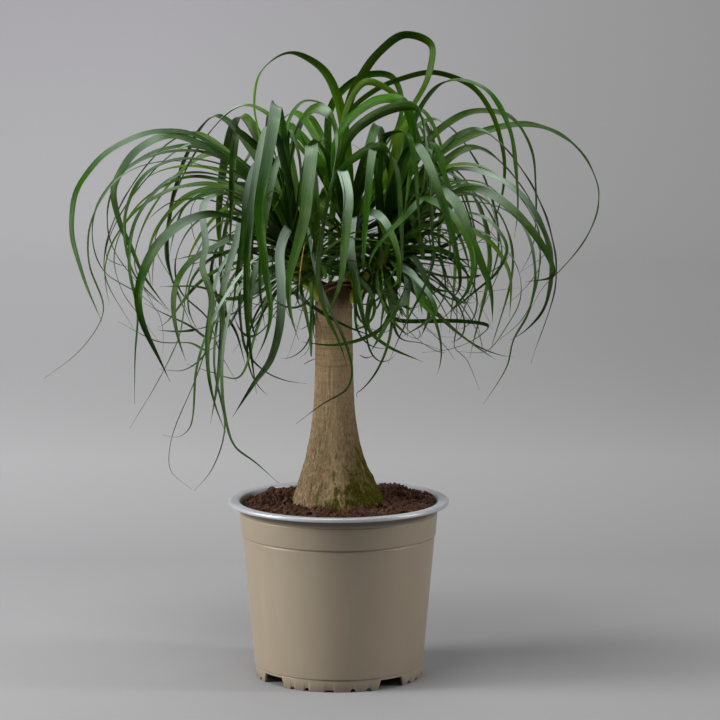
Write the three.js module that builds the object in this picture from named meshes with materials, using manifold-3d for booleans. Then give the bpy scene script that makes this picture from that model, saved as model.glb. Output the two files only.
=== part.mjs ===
// Ponytail palm in a plastic nursery pot. Millimetres, Z up.
// The pot stands on z = 0 with its axis on the origin; the front of the plant faces -Y.
import * as THREE from 'three';
import { mergeVertices } from 'three/addons/utils/BufferGeometryUtils.js';
import Module from 'manifold-3d';

const wasm = await Module();
wasm.setup();

const DEGREE = Math.PI / 180;
const SEAT_GAP = 0.3;

// Pot: tapered wall, wide flat rim, raised floor on a notched foot ring.
const POT = {
  segments: 36,
  footRadius: 79.2,
  footHeight: 12,
  footThickness: 1.8,
  footTopThickness: 2.4,
  floorThickness: 1.8,
  cornerFill: 0.3,
  wallTopRadius: 94.8,
  wallTop: 163.6,
  wall: 1.6,
};
// Lines around the wall: height, and how far the wall stands out from its plain taper.
const WALL_LINES = [[11.4, 0], [12.2, 0.55], [136.5, -0.5], [137.4, 0.4]];
// Section of the rim, radius and height: from the collar over the lip to the inside.
const RIM_SECTION = [
  [96.2, 164.4],
  [96.4, 166.4],
  [104, 166.1],
  [105, 167.1],
  [105, 169.1],
  [104.1, 170.1],
  [95.5, 170.1],
  [94.2, 169.2],
  [93.2, 161.6],
];
const FOOT_CUT = { depth: 14, inset: 9, below: 1 };
const FOOT_FIRST_ANGLE = -6;
const FOOT_ARCHES = { count: 4, offset: 45, bottomWidth: 31, topWidth: 25, height: 9.4 };
const FOOT_NOTCHES = [
  { offset: -27, width: 5, height: 3 },
  { offset: -16, width: 5, height: 3 },
  { offset: 0, width: 10, height: 2 },
  { offset: 16, width: 5, height: 3 },
  { offset: 27, width: 5, height: 3 },
];
const DRAIN_HOLES = { count: 4, circleRadius: 56, radius: 6.5, centreRadius: 7, drill: 8, sides: 8 };

// Trunk: height, half width and sideways shift of the axis, from the bulb's underside to the cut top.
const TRUNK_PROFILE = [
  [116, 14, 0],
  [121, 28, 0],
  [131, 39, 0],
  [146, 45.5, 0],
  [160, 46, 0],
  [171.4, 42.8, -0.2],
  [180, 39.2, -1.1],
  [189.6, 35.6, -2.1],
  [198, 31.8, -3],
  [208, 28.3, -3.8],
  [221, 25, -4.1],
  [235.4, 22.4, -4.3],
  [249, 20.5, -4.3],
  [262.7, 19.2, -4.3],
  [282, 18.5, -4.4],
  [302, 18.1, -4.5],
  [324, 17.8, -4.6],
  [346, 17.6, -4.7],
  [364, 17.5, -4.8],
  [378, 16.6, -4.8],
];
const TRUNK = { sides: 20, bottom: 113, topCentre: 373.5 };
// Furrows of the bark, as waves around the trunk that wander with height, and the ragged edge of the cut.
const BARK = {
  from: 180,
  depth: 0.035,
  waves: [
    { turns: 7, climb: 0.021, phase: 0, share: 0.45 },
    { turns: 11, climb: -0.034, phase: 0, share: 0.35 },
    { turns: 3, climb: 0, phase: 1, share: 0.2 },
  ],
};
const CUT_EDGE = { waves: 5, phase: 0.6, depth: 2.1 };

// Soil: lumpy top a little below the rim, heaped behind the trunk on the right.
const SOIL = {
  seed: 4107,
  rings: 5,
  level: 164.8,
  lump: 2,
  heap: 3.6,
  heapX: 45,
  heapY: 50,
  heapReach: 45,
  edgeDrop: 2.2,
  edgeLevel: 161,
  waistLevel: 90,
  wallGap: 0.55,
};

// Leaf blades. Routes lie on the upright plane through the pot axis, as seen from an eye point in
// front; the depth of a blade then slides its points along the lines of sight.
const EYE = { x: 20, distance: 3000, z: 709 };
const ROUTE_STEPS = 12;
// Stations along a blade, drawn together in its bends; a blade shorter than LONG_BLADE uses every
// other one.
const STATIONS = 12;
const BEND_PACE = 32;
const LONG_BLADE = 240;
// Blade section: keel under the flat face, full on a blade wider than keelWidth; width from root to tip.
const SECTION = { keel: 1.15, leastKeel: 0.6, keelWidth: 20 };
const WIDTH = { root: 0.5, opening: 3, taper: 4.5, tipShape: 1.15, tip: 1.7 };
// How a blade turns its face to the front: pace of the turn, and degrees it may turn from station
// to station.
const TURN = { gain: 1.4, step: 17 };
// Blade roots: how far they start from the middle of the core, sideways and upwards.
const ROOT = { spread: 4.2, climb: 6 };
const CORE = { radius: 12.3, halfHeight: 18, bluntness: 0.6, rings: 6, sides: 10 };
const STALK = { sides: 10, below: 3, above: 6 };

// Where the blades of each head meet (across, depth, up) and where its stalk leaves the trunk.
const HEADS = {
  left: {
    core: [-36, -7, 397],
    stalk: [[-12, -4, 356], [-21, -6, 370], [-30, -8, 384], [-36, -7, 397]],
    radii: [5, 6.5, 8, 8.5],
  },
  back: {
    core: [11, 15, 416],
    stalk: [[7, 13, 356], [10, 20, 374], [11, 19, 396], [11, 15, 416]],
    radii: [5, 7, 8.5, 8.5],
  },
  right: {
    core: [41, -2, 401],
    stalk: [[5, -2, 358], [19, -3, 371], [31, -3, 385], [41, -2, 401]],
    radii: [5, 6.5, 8, 8.5],
  },
};

// One row a blade: width, most turn of its face to the front in degrees, depth at the middle and at the tip,
// then the route as across, up pairs that follow the head. A blade marked true is torn off short.
const BLADES = {
  left: [
    [12, 15, -70, -150, [-66, 462, -102, 497, -150, 521, -205, 509, -243, 472, -252, 432, -244, 392,
      -235, 366, -224, 340]],
    [4, 15, -120, -190, [-74, 455, -140, 492, -200, 482, -232, 440, -236, 396, -222, 352, -244, 314,
      -280, 286]],
    [14, 30, -30, -40, [-85, 476, -125, 506, -160, 517, -192, 500, -211, 468, -208, 440, -196, 412,
      -184, 384, -160, 350]],
    [10, 18, -95, -120, [-70, 455, -102, 486, -146, 495, -180, 482, -200, 447, -201, 416, -193, 385,
      -163, 352]],
    [10, 18, 35, 20, [-70, 442, -105, 468, -146, 469, -187, 449, -212, 418, -221, 390, -217, 356]],
    [8, 25, -50, -60, [-70, 430, -102, 449, -128, 457, -159, 453, -182, 436]],
    [13, 20, 10, 0, [-80, 455, -110, 468, -144, 459, -168, 434, -180, 404, -177, 372]],
    [9, 20, 45, 40, [-72, 440, -105, 462, -138, 456, -160, 432, -173, 407, -177, 366]],
    [6, 30, -80, -90, [-75, 448, -110, 466, -143, 452, -155, 425, -160, 402]],
    [11, 28, -45, -70, [-62, 414, -92, 421, -118, 411, -141, 396, -153, 378, -156, 350, -152, 325, -145,
      303]],
    [9, 20, -110, -150, [-78, 446, -110, 462, -127, 452, -125, 412, -129, 393, -120, 365, -124, 330,
      -124, 295, -118, 262, -107, 233]],
    [4, 20, -30, -20, [-72, 446, -100, 466, -105, 445, -106, 420, -110, 404]],
    [4, 20, 70, 90, [-80, 450, -120, 468, -138, 450, -138, 428, -131, 405]],
    [5, 30, 0, -20, [-66, 408, -92, 406, -120, 406, -158, 399]],
    [7, 40, 60, 80, [-62, 416, -92, 422, -108, 421, -119, 415]],
    [8, 30, -75, -110, [-62, 388, -85, 366, -104, 362, -130, 373, -169, 374]],
    [9, 15, -60, -90, [-70, 432, -90, 440, -96, 418, -104, 392, -110, 365, -110, 335, -113, 300,
      -116, 275, -122, 243]],
    [14, 60, -125, -190, [-46, 460, -51, 512, -55, 537, -58, 546, -60, 534, -67, 494, -75, 447, -72, 412,
      -67, 375, -64, 348, -70, 322, -79, 304]],
    [11, 60, -100, -150, [-52, 470, -61, 504, -66, 516, -70, 511, -74, 497, -82, 453, -89, 425, -89, 400,
      -79, 362]],
    [8, 50, -60, -90, [-58, 460, -76, 490, -86, 465, -90, 425, -96, 385, -101, 345]],
    [15, 60, -150, -232, [-30, 460, -27, 495, -25, 508, -26, 496, -29, 468, -31, 445, -39, 412, -47, 382,
      -46, 350, -38, 323]],
    [13, 80, -90, -130, [-46, 470, -42, 516, -34, 535, -21, 543, -8, 536, -2, 514, -3, 490, -12, 447,
      -18, 410, -20, 385, -12, 347, -1, 325, 9, 296]],
    [4, 20, -95, -140, [-38, 450, -28, 424, -22, 390, -8, 352, 6, 322, 13, 294, 8, 276, -15, 262, -41,
      242]],
    [4, 15, -70, -110, [-46, 470, -46, 522, -37, 498, -36, 463, -43, 432, -51, 417]],
    [10, 35, -40, -70, [-60, 490, -78, 507, -94, 519, -99, 494, -101, 447, -103, 410]],
    [11, 60, -110, -170, [-46, 430, -55, 410, -54, 372, -56, 335, -65, 303, -80, 282, -101, 249]],
    [8, 30, 75, 60, [-90, 442, -130, 438, -153, 405, -150, 370, -124, 344, -113, 312, -97, 283]],
    [8, 15, 40, 20, [-70, 428, -88, 410, -93, 375, -93, 345, -87, 312, -70, 293, -50, 284, -30, 281]],
    [8, 20, 95, 90, [-85, 430, -112, 415, -120, 380, -108, 350, -97, 330, -88, 297]],
    [5, 20, -50, -60, [-54, 402, -58, 386, -44, 370, -14, 348, 10, 335, 34, 326]],
    [4, 20, 60, 90, [-75, 385, -100, 345, -123, 313, -140, 320, -170, 321, -208, 340]],
    [5, 20, 105, 120, [-80, 375, -105, 335, -122, 324, -140, 336, -165, 348, -184, 358]],
    [6, 25, -20, -60, [-62, 375, -78, 330, -95, 287, -120, 292, -144, 300]],
    [5, 20, -75, -100, [-90, 415, -116, 380, -119, 340, -127, 309, -147, 294, -170, 295]],
    [6, 30, 110, 60, [-85, 462, -140, 478, -190, 450, -212, 405, -205, 370, -190, 348, -171, 322]],
    [5, 30, -115, -140, [-90, 470, -150, 480, -190, 440, -198, 395, -190, 350, -193, 310, -194, 262]],
    [6, 20, 20, -30, [-78, 440, -118, 430, -142, 380, -150, 330, -168, 290, -199, 238]],
    [5, 10, -100, -150, [-60, 402, -95, 370, -110, 310, -108, 250, -99, 221, -80, 206, -57, 185]],
    [6, 10, -40, -60, [-72, 410, -106, 372, -118, 300, -108, 240, -121, 198, -138, 178]],
    [4, 10, 30, 20, [-70, 400, -112, 350, -134, 290, -160, 225, -160, 197, -140, 179]],
    [4, 10, -130, -180, [-72, 404, -110, 360, -134, 300, -141, 240, -152, 230, -168, 232]],
    [12, 30, 25, 30, [-26, 432, -14, 458, -1, 471, 8, 465, 12, 448]],
    [10, 30, -10, -16, [-26, 418, -15, 436, -5, 439, 1, 424, 0, 400]],
    [12, 30, 26, 20, [-36, 440, -31, 480, -22, 510, -12, 498, -8, 468]],
    [9, 25, -60, -80, [-50, 400, -66, 404, -80, 384, -84, 350, -78, 322]],
  ],
  back: [
    [8, 18, 50, 20, [-60, 466, -130, 502, -185, 494, -222, 462, -233, 425, -222, 388, -190, 368,
      -171, 350, -166, 328, -167, 310]],
    [10, 16, 80, 70, [-50, 462, -120, 504, -165, 504, -204, 481, -218, 446, -214, 412, -197, 386,
      -180, 366, -158, 351]],
    [6, 30, 100, 120, [-50, 460, -119, 486, -154, 487, -180, 477, -190, 463]],
    [12, 35, -20, -60, [8, 500, -2, 556, -18, 582, -46, 594, -72, 578, -79, 545, -74, 516, -66, 478]],
    [6, 40, 0, -30, [4, 500, -10, 543, -32, 549, -47, 530, -47, 490, -55, 458, -72, 432]],
    [12, 50, 30, 10, [2, 510, 20, 571, 60, 611, 87, 602, 82, 565, 58, 528, 40, 500, 29, 478]],
    [9, 30, 60, 40, [-8, 490, -6, 546, 22, 572, 50, 572, 60, 545, 50, 510, 38, 478]],
    [9, 35, -20, -60, [4, 490, 6, 538, 25, 567, 53, 555, 73, 522, 82, 490, 85, 450]],
    [10, 18, 50, 80, [2, 500, 12, 541, 45, 565, 92, 576, 131, 558, 153, 513, 156, 470, 144, 426]],
    [13, 25, -45, -80, [-6, 490, 2, 522, 33, 549, 60, 549, 72, 505, 67, 478, 62, 440]],
    [12, 50, -90, -140, [0, 480, 10, 516, 43, 540, 73, 543, 83, 505, 87, 465, 88, 425, 90, 402,
      83, 378, 70, 352, 57, 325, 47, 300]],
    [11, 50, -70, -120, [-6, 465, 12, 494, 42, 506, 54, 488, 58, 450, 60, 410, 58, 370]],
    [12, 80, -100, -170, [2, 455, 3, 484, 9, 463, 8, 435, 5, 405, 1, 375, -13, 341]],
    [11, 70, -75, -100, [13, 440, 11, 412, 17, 375, 23, 345, 28, 321]],
    [11, 30, 30, -40, [32, 455, 55, 484, 76, 500, 93, 490, 99, 460, 94, 425, 98, 395, 101, 368, 90, 346]],
    [16, 70, -14, -34, [15, 446, 21, 466, 28, 487], true],
    [5, 20, 0, -20, [25, 440, 42, 446, 57, 460, 68, 474, 85, 488]],
    [9, 60, -60, -100, [26, 444, 40, 440, 50, 424, 57, 400, 58, 366]],
    [12, 30, 4, 8, [2, 440, -10, 451, -21, 434, -18, 404]],
    [12, 30, -22, -28, [22, 440, 35, 444, 45, 424, 45, 396]],
    [13, 30, 30, 34, [15, 450, 22, 482, 32, 506, 44, 496, 50, 466]],
  ],
  right: [
    [12, 13, 130, 150, [66, 462, 94, 499, 135, 520, 182, 527, 222, 508, 245, 468, 240, 432, 216, 396,
      193, 373, 181, 350]],
    [12, 24, -60, -90, [72, 455, 105, 484, 140, 481, 174, 459, 197, 418, 201, 385, 194, 352, 176, 331,
      163, 323]],
    [11, 16, 40, 20, [75, 460, 105, 488, 135, 487, 165, 466, 188, 430, 190, 395, 184, 362, 172, 340, 147,
      319]],
    [9, 18, -20, -40, [80, 450, 115, 470, 150, 462, 178, 425, 186, 385, 180, 350, 165, 322, 160, 298,
      138, 262]],
    [10, 24, 70, 60, [62, 470, 88, 516, 125, 539, 160, 535, 180, 508, 186, 460, 183, 410, 172, 387]],
    [14, 26, -90, -130, [70, 445, 92, 466, 110, 454, 121, 428, 134, 398, 144, 370, 146, 340]],
    [9, 22, -40, -60, [75, 440, 100, 441, 125, 428, 148, 411, 162, 384, 162, 345]],
    [5, 25, 60, 90, [80, 432, 115, 432, 150, 417, 170, 390, 172, 362, 158, 334, 140, 312, 112, 312]],
    [9, 35, -120, -160, [56, 440, 78, 457, 98, 450, 117, 428, 127, 400, 123, 372, 100, 344]],
    [9, 30, 0, -10, [60, 436, 85, 453, 105, 437, 118, 412, 125, 386]],
    [14, 30, -60, -80, [58, 480, 78, 544, 102, 568, 137, 561, 160, 525, 167, 484, 169, 445, 166, 421]],
    [9, 20, -90, -120, [38, 480, 44, 516, 64, 519, 72, 490, 75, 450, 78, 415]],
    [12, 20, 30, 20, [50, 470, 60, 524, 76, 541, 92, 520, 100, 480, 101, 440]],
    [12, 30, -30, -60, [48, 450, 57, 480, 70, 506, 88, 510, 98, 485, 105, 462, 107, 428]],
    [9, 30, 80, 90, [70, 460, 100, 488, 121, 473, 131, 449]],
    [4, 30, -25, -35, [75, 455, 105, 473, 138, 471, 163, 449]],
    [4, 20, 95, 110, [80, 455, 118, 473, 141, 456, 149, 430, 151, 402]],
    [5, 25, -100, -120, [90, 440, 135, 441, 159, 412, 150, 388, 130, 370, 97, 343]],
    [4, 20, 120, 90, [95, 450, 150, 450, 185, 420, 191, 396, 176, 372, 152, 351]],
    [5, 12, -30, -60, [40, 372, 52, 344, 85, 341, 115, 341, 142, 336, 128, 323, 105, 314, 79, 311]],
    [8, 20, -110, -120, [66, 448, 80, 459, 66, 444, 48, 426, 34, 408, 29, 394, 33, 383]],
    [8, 15, 60, 70, [72, 462, 93, 464, 88, 440, 78, 418, 70, 396, 61, 371]],
    [6, 15, 20, 0, [80, 420, 100, 388, 111, 362, 112, 338, 110, 316, 121, 305, 134, 275]],
    [9, 15, -60, -90, [62, 392, 64, 366, 50, 348, 40, 328, 30, 311]],
    [9, 25, -80, -110, [70, 385, 77, 362, 86, 350, 98, 343]],
    [7, 20, 40, 50, [58, 385, 48, 366, 24, 373]],
    [6, 20, -110, -130, [75, 380, 92, 350, 80, 338, 60, 326]],
    [5, 15, -45, -60, [34, 370, 28, 335, 45, 318, 80, 302]],
    [4, 15, 50, 60, [48, 360, 58, 325, 78, 320, 98, 313]],
    [4, 15, 40, 50, [80, 428, 112, 436, 137, 421, 120, 411, 98, 402]],
    [4, 15, 100, 110, [76, 413, 92, 420, 106, 428, 127, 441]],
    [5, 20, -50, -50, [54, 370, 44, 338, 25, 325, -5, 318, -34, 321]],
    [12, 30, 10, 14, [48, 440, 56, 470, 68, 492, 84, 496, 96, 478]],
    [9, 25, -40, -60, [50, 394, 68, 402, 82, 382, 86, 350, 78, 325]],
  ],
};

// Blades behind the crown, drawn from a seed: fans of bearings for each head (0 = right, 90 = back).
const FAN_SEED = 20817;
// Way of such a blade: shares of its reach, rise, drop and lean at each point.
const FAN_WAY = [
  [0.22, 0.62, 0, 0],
  [0.55, 1, 0, 0.3],
  [0.86, 0.55, 0, 0.6],
  [1, 0, 0.2, 0.8],
  [0.84, 0, 1, 1],
];
const FAR = { reach: [140, 265], rise: [45, 135], drop: [10, 120], width: [7, 13] };
const NEAR = { reach: [50, 115], rise: [40, 110], drop: [-15, 60], width: [6, 11] };
const FANS = {
  left: [
    { count: 8, from: 95, to: 155, ...FAR },
    { count: 2, from: 212, to: 258, ...FAR },
    { count: 4, from: 110, to: 300, ...NEAR },
  ],
  back: [{ count: 12, from: 20, to: 165, ...FAR }, { count: 5, from: 0, to: 180, ...NEAR }],
  right: [
    { count: 8, from: 28, to: 92, ...FAR },
    { count: 2, from: -75, to: -35, ...FAR },
    { count: 4, from: -110, to: 80, ...NEAR },
  ],
};
const FAN_LIMIT = 240;
const FAN_TURN = 30;
const FAN_LEAN = 0.5;

// Spacing of the blades: how often and how far they are pushed apart in depth, how much room each takes
// as a share of its width, and how they are kept off the trunk below its cut.
const SPACING = {
  rounds: 100,
  step: 0.8,
  smooth: 0.18,
  reach: 8,
  gap: 1.3,
  share: 0.42,
  sameHead: 0.85,
  otherHead: 1.3,
  rootSegments: 2,
  trunkTop: 384,
  trunkGap: 3,
  trunkBack: 4,
};

// A small repeatable random number source.
function randomSource(seed) {
  let state = seed >>> 0;
  return () => {
    state = (state + 0x6d2b79f5) >>> 0;
    let t = state;
    t = Math.imul(t ^ (t >>> 15), t | 1);
    t ^= t + Math.imul(t ^ (t >>> 7), t | 61);
    return ((t ^ (t >>> 14)) >>> 0) / 4294967296;
  };
}

const mix = (a, b, t) => a + (b - a) * t;
const between = (range, random) => mix(range[0], range[1], random());
const unit = (v) => {
  const length = Math.hypot(...v);
  return v.map((value) => value / length);
};
const cross = (a, b) => [a[1] * b[2] - a[2] * b[1], a[2] * b[0] - a[0] * b[2], a[0] * b[1] - a[1] * b[0]];
const dotProduct = (a, b) => a[0] * b[0] + a[1] * b[1] + a[2] * b[2];
const along = (p, v, length) => p.map((value, i) => value + v[i] * length);

// Closed solid from a geometry whose faces point outwards, or all inwards.
function toSolid(source) {
  const geometry = source.clone();
  geometry.deleteAttribute('normal');
  geometry.deleteAttribute('uv');
  const merged = mergeVertices(geometry, 1e-4);
  const triVerts = Uint32Array.from(merged.index.array);
  const build = () => new wasm.Manifold(new wasm.Mesh({
    numProp: 3,
    vertProperties: Float32Array.from(merged.attributes.position.array),
    triVerts,
  }));
  const solid = build();
  if (solid.volume() > 0) return solid;
  for (let i = 0; i < triVerts.length; i += 3) {
    [triVerts[i], triVerts[i + 1]] = [triVerts[i + 1], triVerts[i]];
  }
  return build();
}

// Triangles of the largest shell: a pocket shut in between crossing leaves is filled this way.
function largestShell(positions, triangles) {
  const owner = Array.from({ length: positions.length / 3 }, (_, i) => i);
  const find = (i) => {
    while (owner[i] !== i) {
      owner[i] = owner[owner[i]];
      i = owner[i];
    }
    return i;
  };
  for (let i = 0; i < triangles.length; i += 3) {
    owner[find(triangles[i + 1])] = find(triangles[i]);
    owner[find(triangles[i + 2])] = find(triangles[i]);
  }
  const sizes = new Map();
  for (const vertex of triangles) sizes.set(find(vertex), (sizes.get(find(vertex)) ?? 0) + 1);
  const [largest] = [...sizes].sort((a, b) => b[1] - a[1])[0];
  return triangles.filter((_, i) => find(triangles[i - (i % 3)]) === largest);
}

function toMesh(solid, name, look) {
  const data = solid.getMesh();
  const positions = Float32Array.from(data.vertProperties);
  const geometry = new THREE.BufferGeometry();
  geometry.setAttribute('position', new THREE.BufferAttribute(positions, 3));
  geometry.setIndex(new THREE.BufferAttribute(largestShell(positions, Uint32Array.from(data.triVerts)), 1));
  geometry.computeVertexNormals();
  const mesh = new THREE.Mesh(geometry, new THREE.MeshStandardMaterial(look));
  mesh.name = name;
  return mesh;
}

const joinAll = (solids) => solids.reduce((all, solid) => all.add(solid));

const middleOf = (points) => (
  [0, 1, 2].map((k) => points.reduce((sum, point) => sum + point[k], 0) / points.length)
);

// Two triangles over corners a, b, c, d, cut along the diagonal that stands further out from the inside.
function bulgingFaces([a, b, c, d], places, inside) {
  const out = along(middleOf(places), inside, -1);
  const [first, second] = [[places[0], places[2]], [places[1], places[3]]].map(middleOf);
  return dotProduct(out, first) > dotProduct(out, second) ? [a, b, c, a, c, d] : [a, b, d, b, c, d];
}

// Solid of rings of points, closed with a point at each end. Its twisted faces bulge outwards.
function ringSolid(rings, first, last) {
  const sides = rings[0].length;
  const positions = [...first];
  rings.forEach((ring) => ring.forEach((point) => positions.push(...point)));
  positions.push(...last);
  const end = 1 + rings.length * sides;
  const at = (ring, side) => 1 + ring * sides + (side % sides);
  const faces = [];
  for (let side = 0; side < sides; side += 1) {
    faces.push(0, at(0, side + 1), at(0, side));
    const next = (side + 1) % sides;
    for (let ring = 0; ring + 1 < rings.length; ring += 1) {
      const [near, far] = [rings[ring], rings[ring + 1]];
      const corners = [at(ring, side), at(ring, next), at(ring + 1, next), at(ring + 1, side)];
      const places = [near[side], near[next], far[next], far[side]];
      faces.push(...bulgingFaces(corners, places, middleOf([...near, ...far])));
    }
    faces.push(end, at(rings.length - 1, side), at(rings.length - 1, side + 1));
  }
  const geometry = new THREE.BufferGeometry();
  geometry.setAttribute('position', new THREE.BufferAttribute(new Float32Array(positions), 3));
  geometry.setIndex(faces);
  return toSolid(geometry);
}

// Solid of revolution about Z from a closed or axis-to-axis profile of [radius, height].
function revolve(profile, segments, centre = [0, 0, 0]) {
  const lathe = new THREE.LatheGeometry(profile.map(([r, z]) => new THREE.Vector2(r, z)), segments);
  lathe.rotateX(Math.PI / 2);
  lathe.translate(...centre);
  return toSolid(lathe);
}

// Outer radius of the plain pot wall at a height.
const wallRadius = (z) => mix(POT.footRadius, POT.wallTopRadius, z / POT.wallTop);

// Prism cut through the foot ring at an angle from the front, turning to the right.
function footCutter(outline, angle) {
  const shape = new THREE.Shape(outline.map(([x, y]) => new THREE.Vector2(x, y)));
  const prism = new THREE.ExtrudeGeometry(shape, { depth: FOOT_CUT.depth, bevelEnabled: false });
  prism.rotateX(Math.PI / 2);
  prism.translate(0, FOOT_CUT.inset - POT.footRadius, 0);
  prism.rotateZ(angle * DEGREE);
  return toSolid(prism);
}

// Outline of a notch in the foot: upright at the bottom, narrowing to a flat top.
function notchOutline({ width, height }) {
  const half = width / 2;
  return [
    [-half, -FOOT_CUT.below],
    [half, -FOOT_CUT.below],
    [half * 0.9, height * 0.6],
    [half * 0.5, height],
    [-half * 0.5, height],
    [-half * 0.9, height * 0.6],
  ];
}

function makePot() {
  const floorTop = POT.footHeight + POT.floorThickness;
  let pot = revolve([
    [0, POT.footHeight],
    [wallRadius(POT.footHeight) - POT.footTopThickness, POT.footHeight],
    [POT.footRadius - POT.footThickness, 0],
    [POT.footRadius, 0],
    ...WALL_LINES.map(([z, out]) => [wallRadius(z) + out, z]),
    [POT.wallTopRadius, POT.wallTop],
    ...RIM_SECTION,
    [wallRadius(floorTop) - POT.wall + POT.cornerFill, floorTop],
    [0, floorTop],
  ], POT.segments);
  const arch = FOOT_ARCHES;
  const archOutline = [
    [-arch.bottomWidth / 2, -FOOT_CUT.below],
    [arch.bottomWidth / 2, -FOOT_CUT.below],
    [arch.topWidth / 2, arch.height],
    [-arch.topWidth / 2, arch.height],
  ];
  for (let quarter = 0; quarter < arch.count; quarter += 1) {
    const middle = FOOT_FIRST_ANGLE + quarter * 360 / arch.count;
    pot = pot.subtract(footCutter(archOutline, middle + arch.offset));
    for (const notch of FOOT_NOTCHES) {
      pot = pot.subtract(footCutter(notchOutline(notch), middle + notch.offset));
    }
  }
  const drill = (radius, x, y) => {
    const bit = new THREE.CylinderGeometry(radius, radius, DRAIN_HOLES.drill, DRAIN_HOLES.sides);
    bit.rotateX(Math.PI / 2);
    bit.translate(x, y, POT.footHeight + POT.floorThickness / 2);
    pot = pot.subtract(toSolid(bit));
  };
  drill(DRAIN_HOLES.centreRadius, 0, 0);
  for (let i = 0; i < DRAIN_HOLES.count; i += 1) {
    const angle = (i + 0.5) * 2 * Math.PI / DRAIN_HOLES.count;
    const reach = DRAIN_HOLES.circleRadius;
    drill(DRAIN_HOLES.radius, reach * Math.cos(angle), reach * Math.sin(angle));
  }
  return pot;
}

// Half width and axis shift of the trunk at a height.
function trunkAt(z) {
  const rows = TRUNK_PROFILE;
  if (z <= rows[0][0]) return rows[0];
  const next = rows.findIndex((row) => row[0] > z);
  if (next < 0) return rows[rows.length - 1];
  const [a, b] = [rows[next - 1], rows[next]];
  const t = (z - a[0]) / (b[0] - a[0]);
  return a.map((value, i) => mix(value, b[i], t));
}

// Depth of the bark furrows at an angle and a height, between -1 and 1.
function barkWave(angle, z) {
  if (z <= BARK.from) return 0;
  return BARK.waves.reduce((sum, { turns, climb, phase, share }) => (
    sum + share * Math.sin(angle * turns + z * climb + phase)), 0);
}

// Trunk with its bark, or the same grown on all sides, which leaves a seat around it.
function makeTrunk(grow) {
  const top = TRUNK_PROFILE.length - 1;
  const rings = TRUNK_PROFILE.map(([z, half, shift], level) => {
    const ring = [];
    for (let side = 0; side < TRUNK.sides; side += 1) {
      const angle = side * 2 * Math.PI / TRUNK.sides;
      const radius = half * (1 + BARK.depth * barkWave(angle, z)) + grow;
      const wave = CUT_EDGE.depth * Math.sin(angle * CUT_EDGE.waves + CUT_EDGE.phase);
      const rim = level === top ? wave + grow : 0;
      ring.push([shift + radius * Math.cos(angle), radius * Math.sin(angle), z + rim]);
    }
    return ring;
  });
  return ringSolid(rings, [0, 0, TRUNK.bottom - grow], [TRUNK_PROFILE[top][2], 0, TRUNK.topCentre + grow]);
}

// Height of the soil at a place, with a random lump.
function soilHeight(x, y, random) {
  const heap = Math.exp(-((x - SOIL.heapX) ** 2 + (y - SOIL.heapY) ** 2) / (2 * SOIL.heapReach ** 2));
  return SOIL.level + SOIL.heap * heap + SOIL.lump * (random() - 0.5) * 2;
}

function makeSoil(trunkSeat) {
  const random = randomSource(SOIL.seed);
  const inner = (z) => wallRadius(z) - POT.wall - SOIL.wallGap;
  const bottom = POT.footHeight + POT.floorThickness + SEAT_GAP;
  const circle = (radius, heightAt) => {
    const ring = [];
    for (let side = 0; side < POT.segments; side += 1) {
      const angle = side * 2 * Math.PI / POT.segments;
      const x = radius * Math.sin(angle);
      const y = radius * Math.cos(angle);
      ring.push([x, y, heightAt(x, y)]);
    }
    return ring;
  };
  const edge = inner(SOIL.edgeLevel);
  const rings = [];
  for (let i = 1; i <= SOIL.rings; i += 1) {
    const drop = i === SOIL.rings ? SOIL.edgeDrop : 0;
    rings.push(circle(edge * i / SOIL.rings, (x, y) => soilHeight(x, y, random) - drop));
  }
  rings.push(circle(inner(SOIL.waistLevel), () => SOIL.waistLevel));
  rings.push(circle(inner(bottom), () => bottom));
  return ringSolid(rings, [0, 0, SOIL.level], [0, 0, bottom]).subtract(trunkSeat);
}

// Points between b and c on a centripetal Catmull-Rom curve through a, b, c, d.
function curvePoint(a, b, c, d, t) {
  const knot = (p, q) => Math.sqrt(Math.hypot(...along(q, p, -1)));
  const t1 = knot(a, b);
  const t2 = t1 + knot(b, c);
  const t3 = t2 + knot(c, d);
  const s = mix(t1, t2, t);
  const blend = (p, q, from, to) => p.map((value, i) => (value * (to - s) + q[i] * (s - from)) / (to - from));
  const ab = blend(a, b, 0, t1);
  const bc = blend(b, c, t1, t2);
  const cd = blend(c, d, t2, t3);
  const abc = blend(ab, bc, 0, t2);
  const bcd = blend(bc, cd, t1, t3);
  return blend(abc, bcd, t1, t2);
}

// Close steps along the smooth curve through points of the plane or of space.
function smoothCurve(points) {
  const last = points.length - 1;
  const mirror = (p, q) => along(p, along(q, p, -1), -1);
  const all = [mirror(points[0], points[1]), ...points, mirror(points[last], points[last - 1])];
  const curve = [];
  for (let span = 0; span < last; span += 1) {
    for (let step = 0; step < ROUTE_STEPS; step += 1) {
      curve.push(curvePoint(all[span], all[span + 1], all[span + 2], all[span + 3], step / ROUTE_STEPS));
    }
  }
  curve.push(points[last]);
  return curve;
}

// Distance along a curve at each of its points.
function distances(curve) {
  const result = [0];
  for (let i = 1; i < curve.length; i += 1) {
    result.push(result[i - 1] + Math.hypot(...along(curve[i], curve[i - 1], -1)));
  }
  return result;
}

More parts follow.
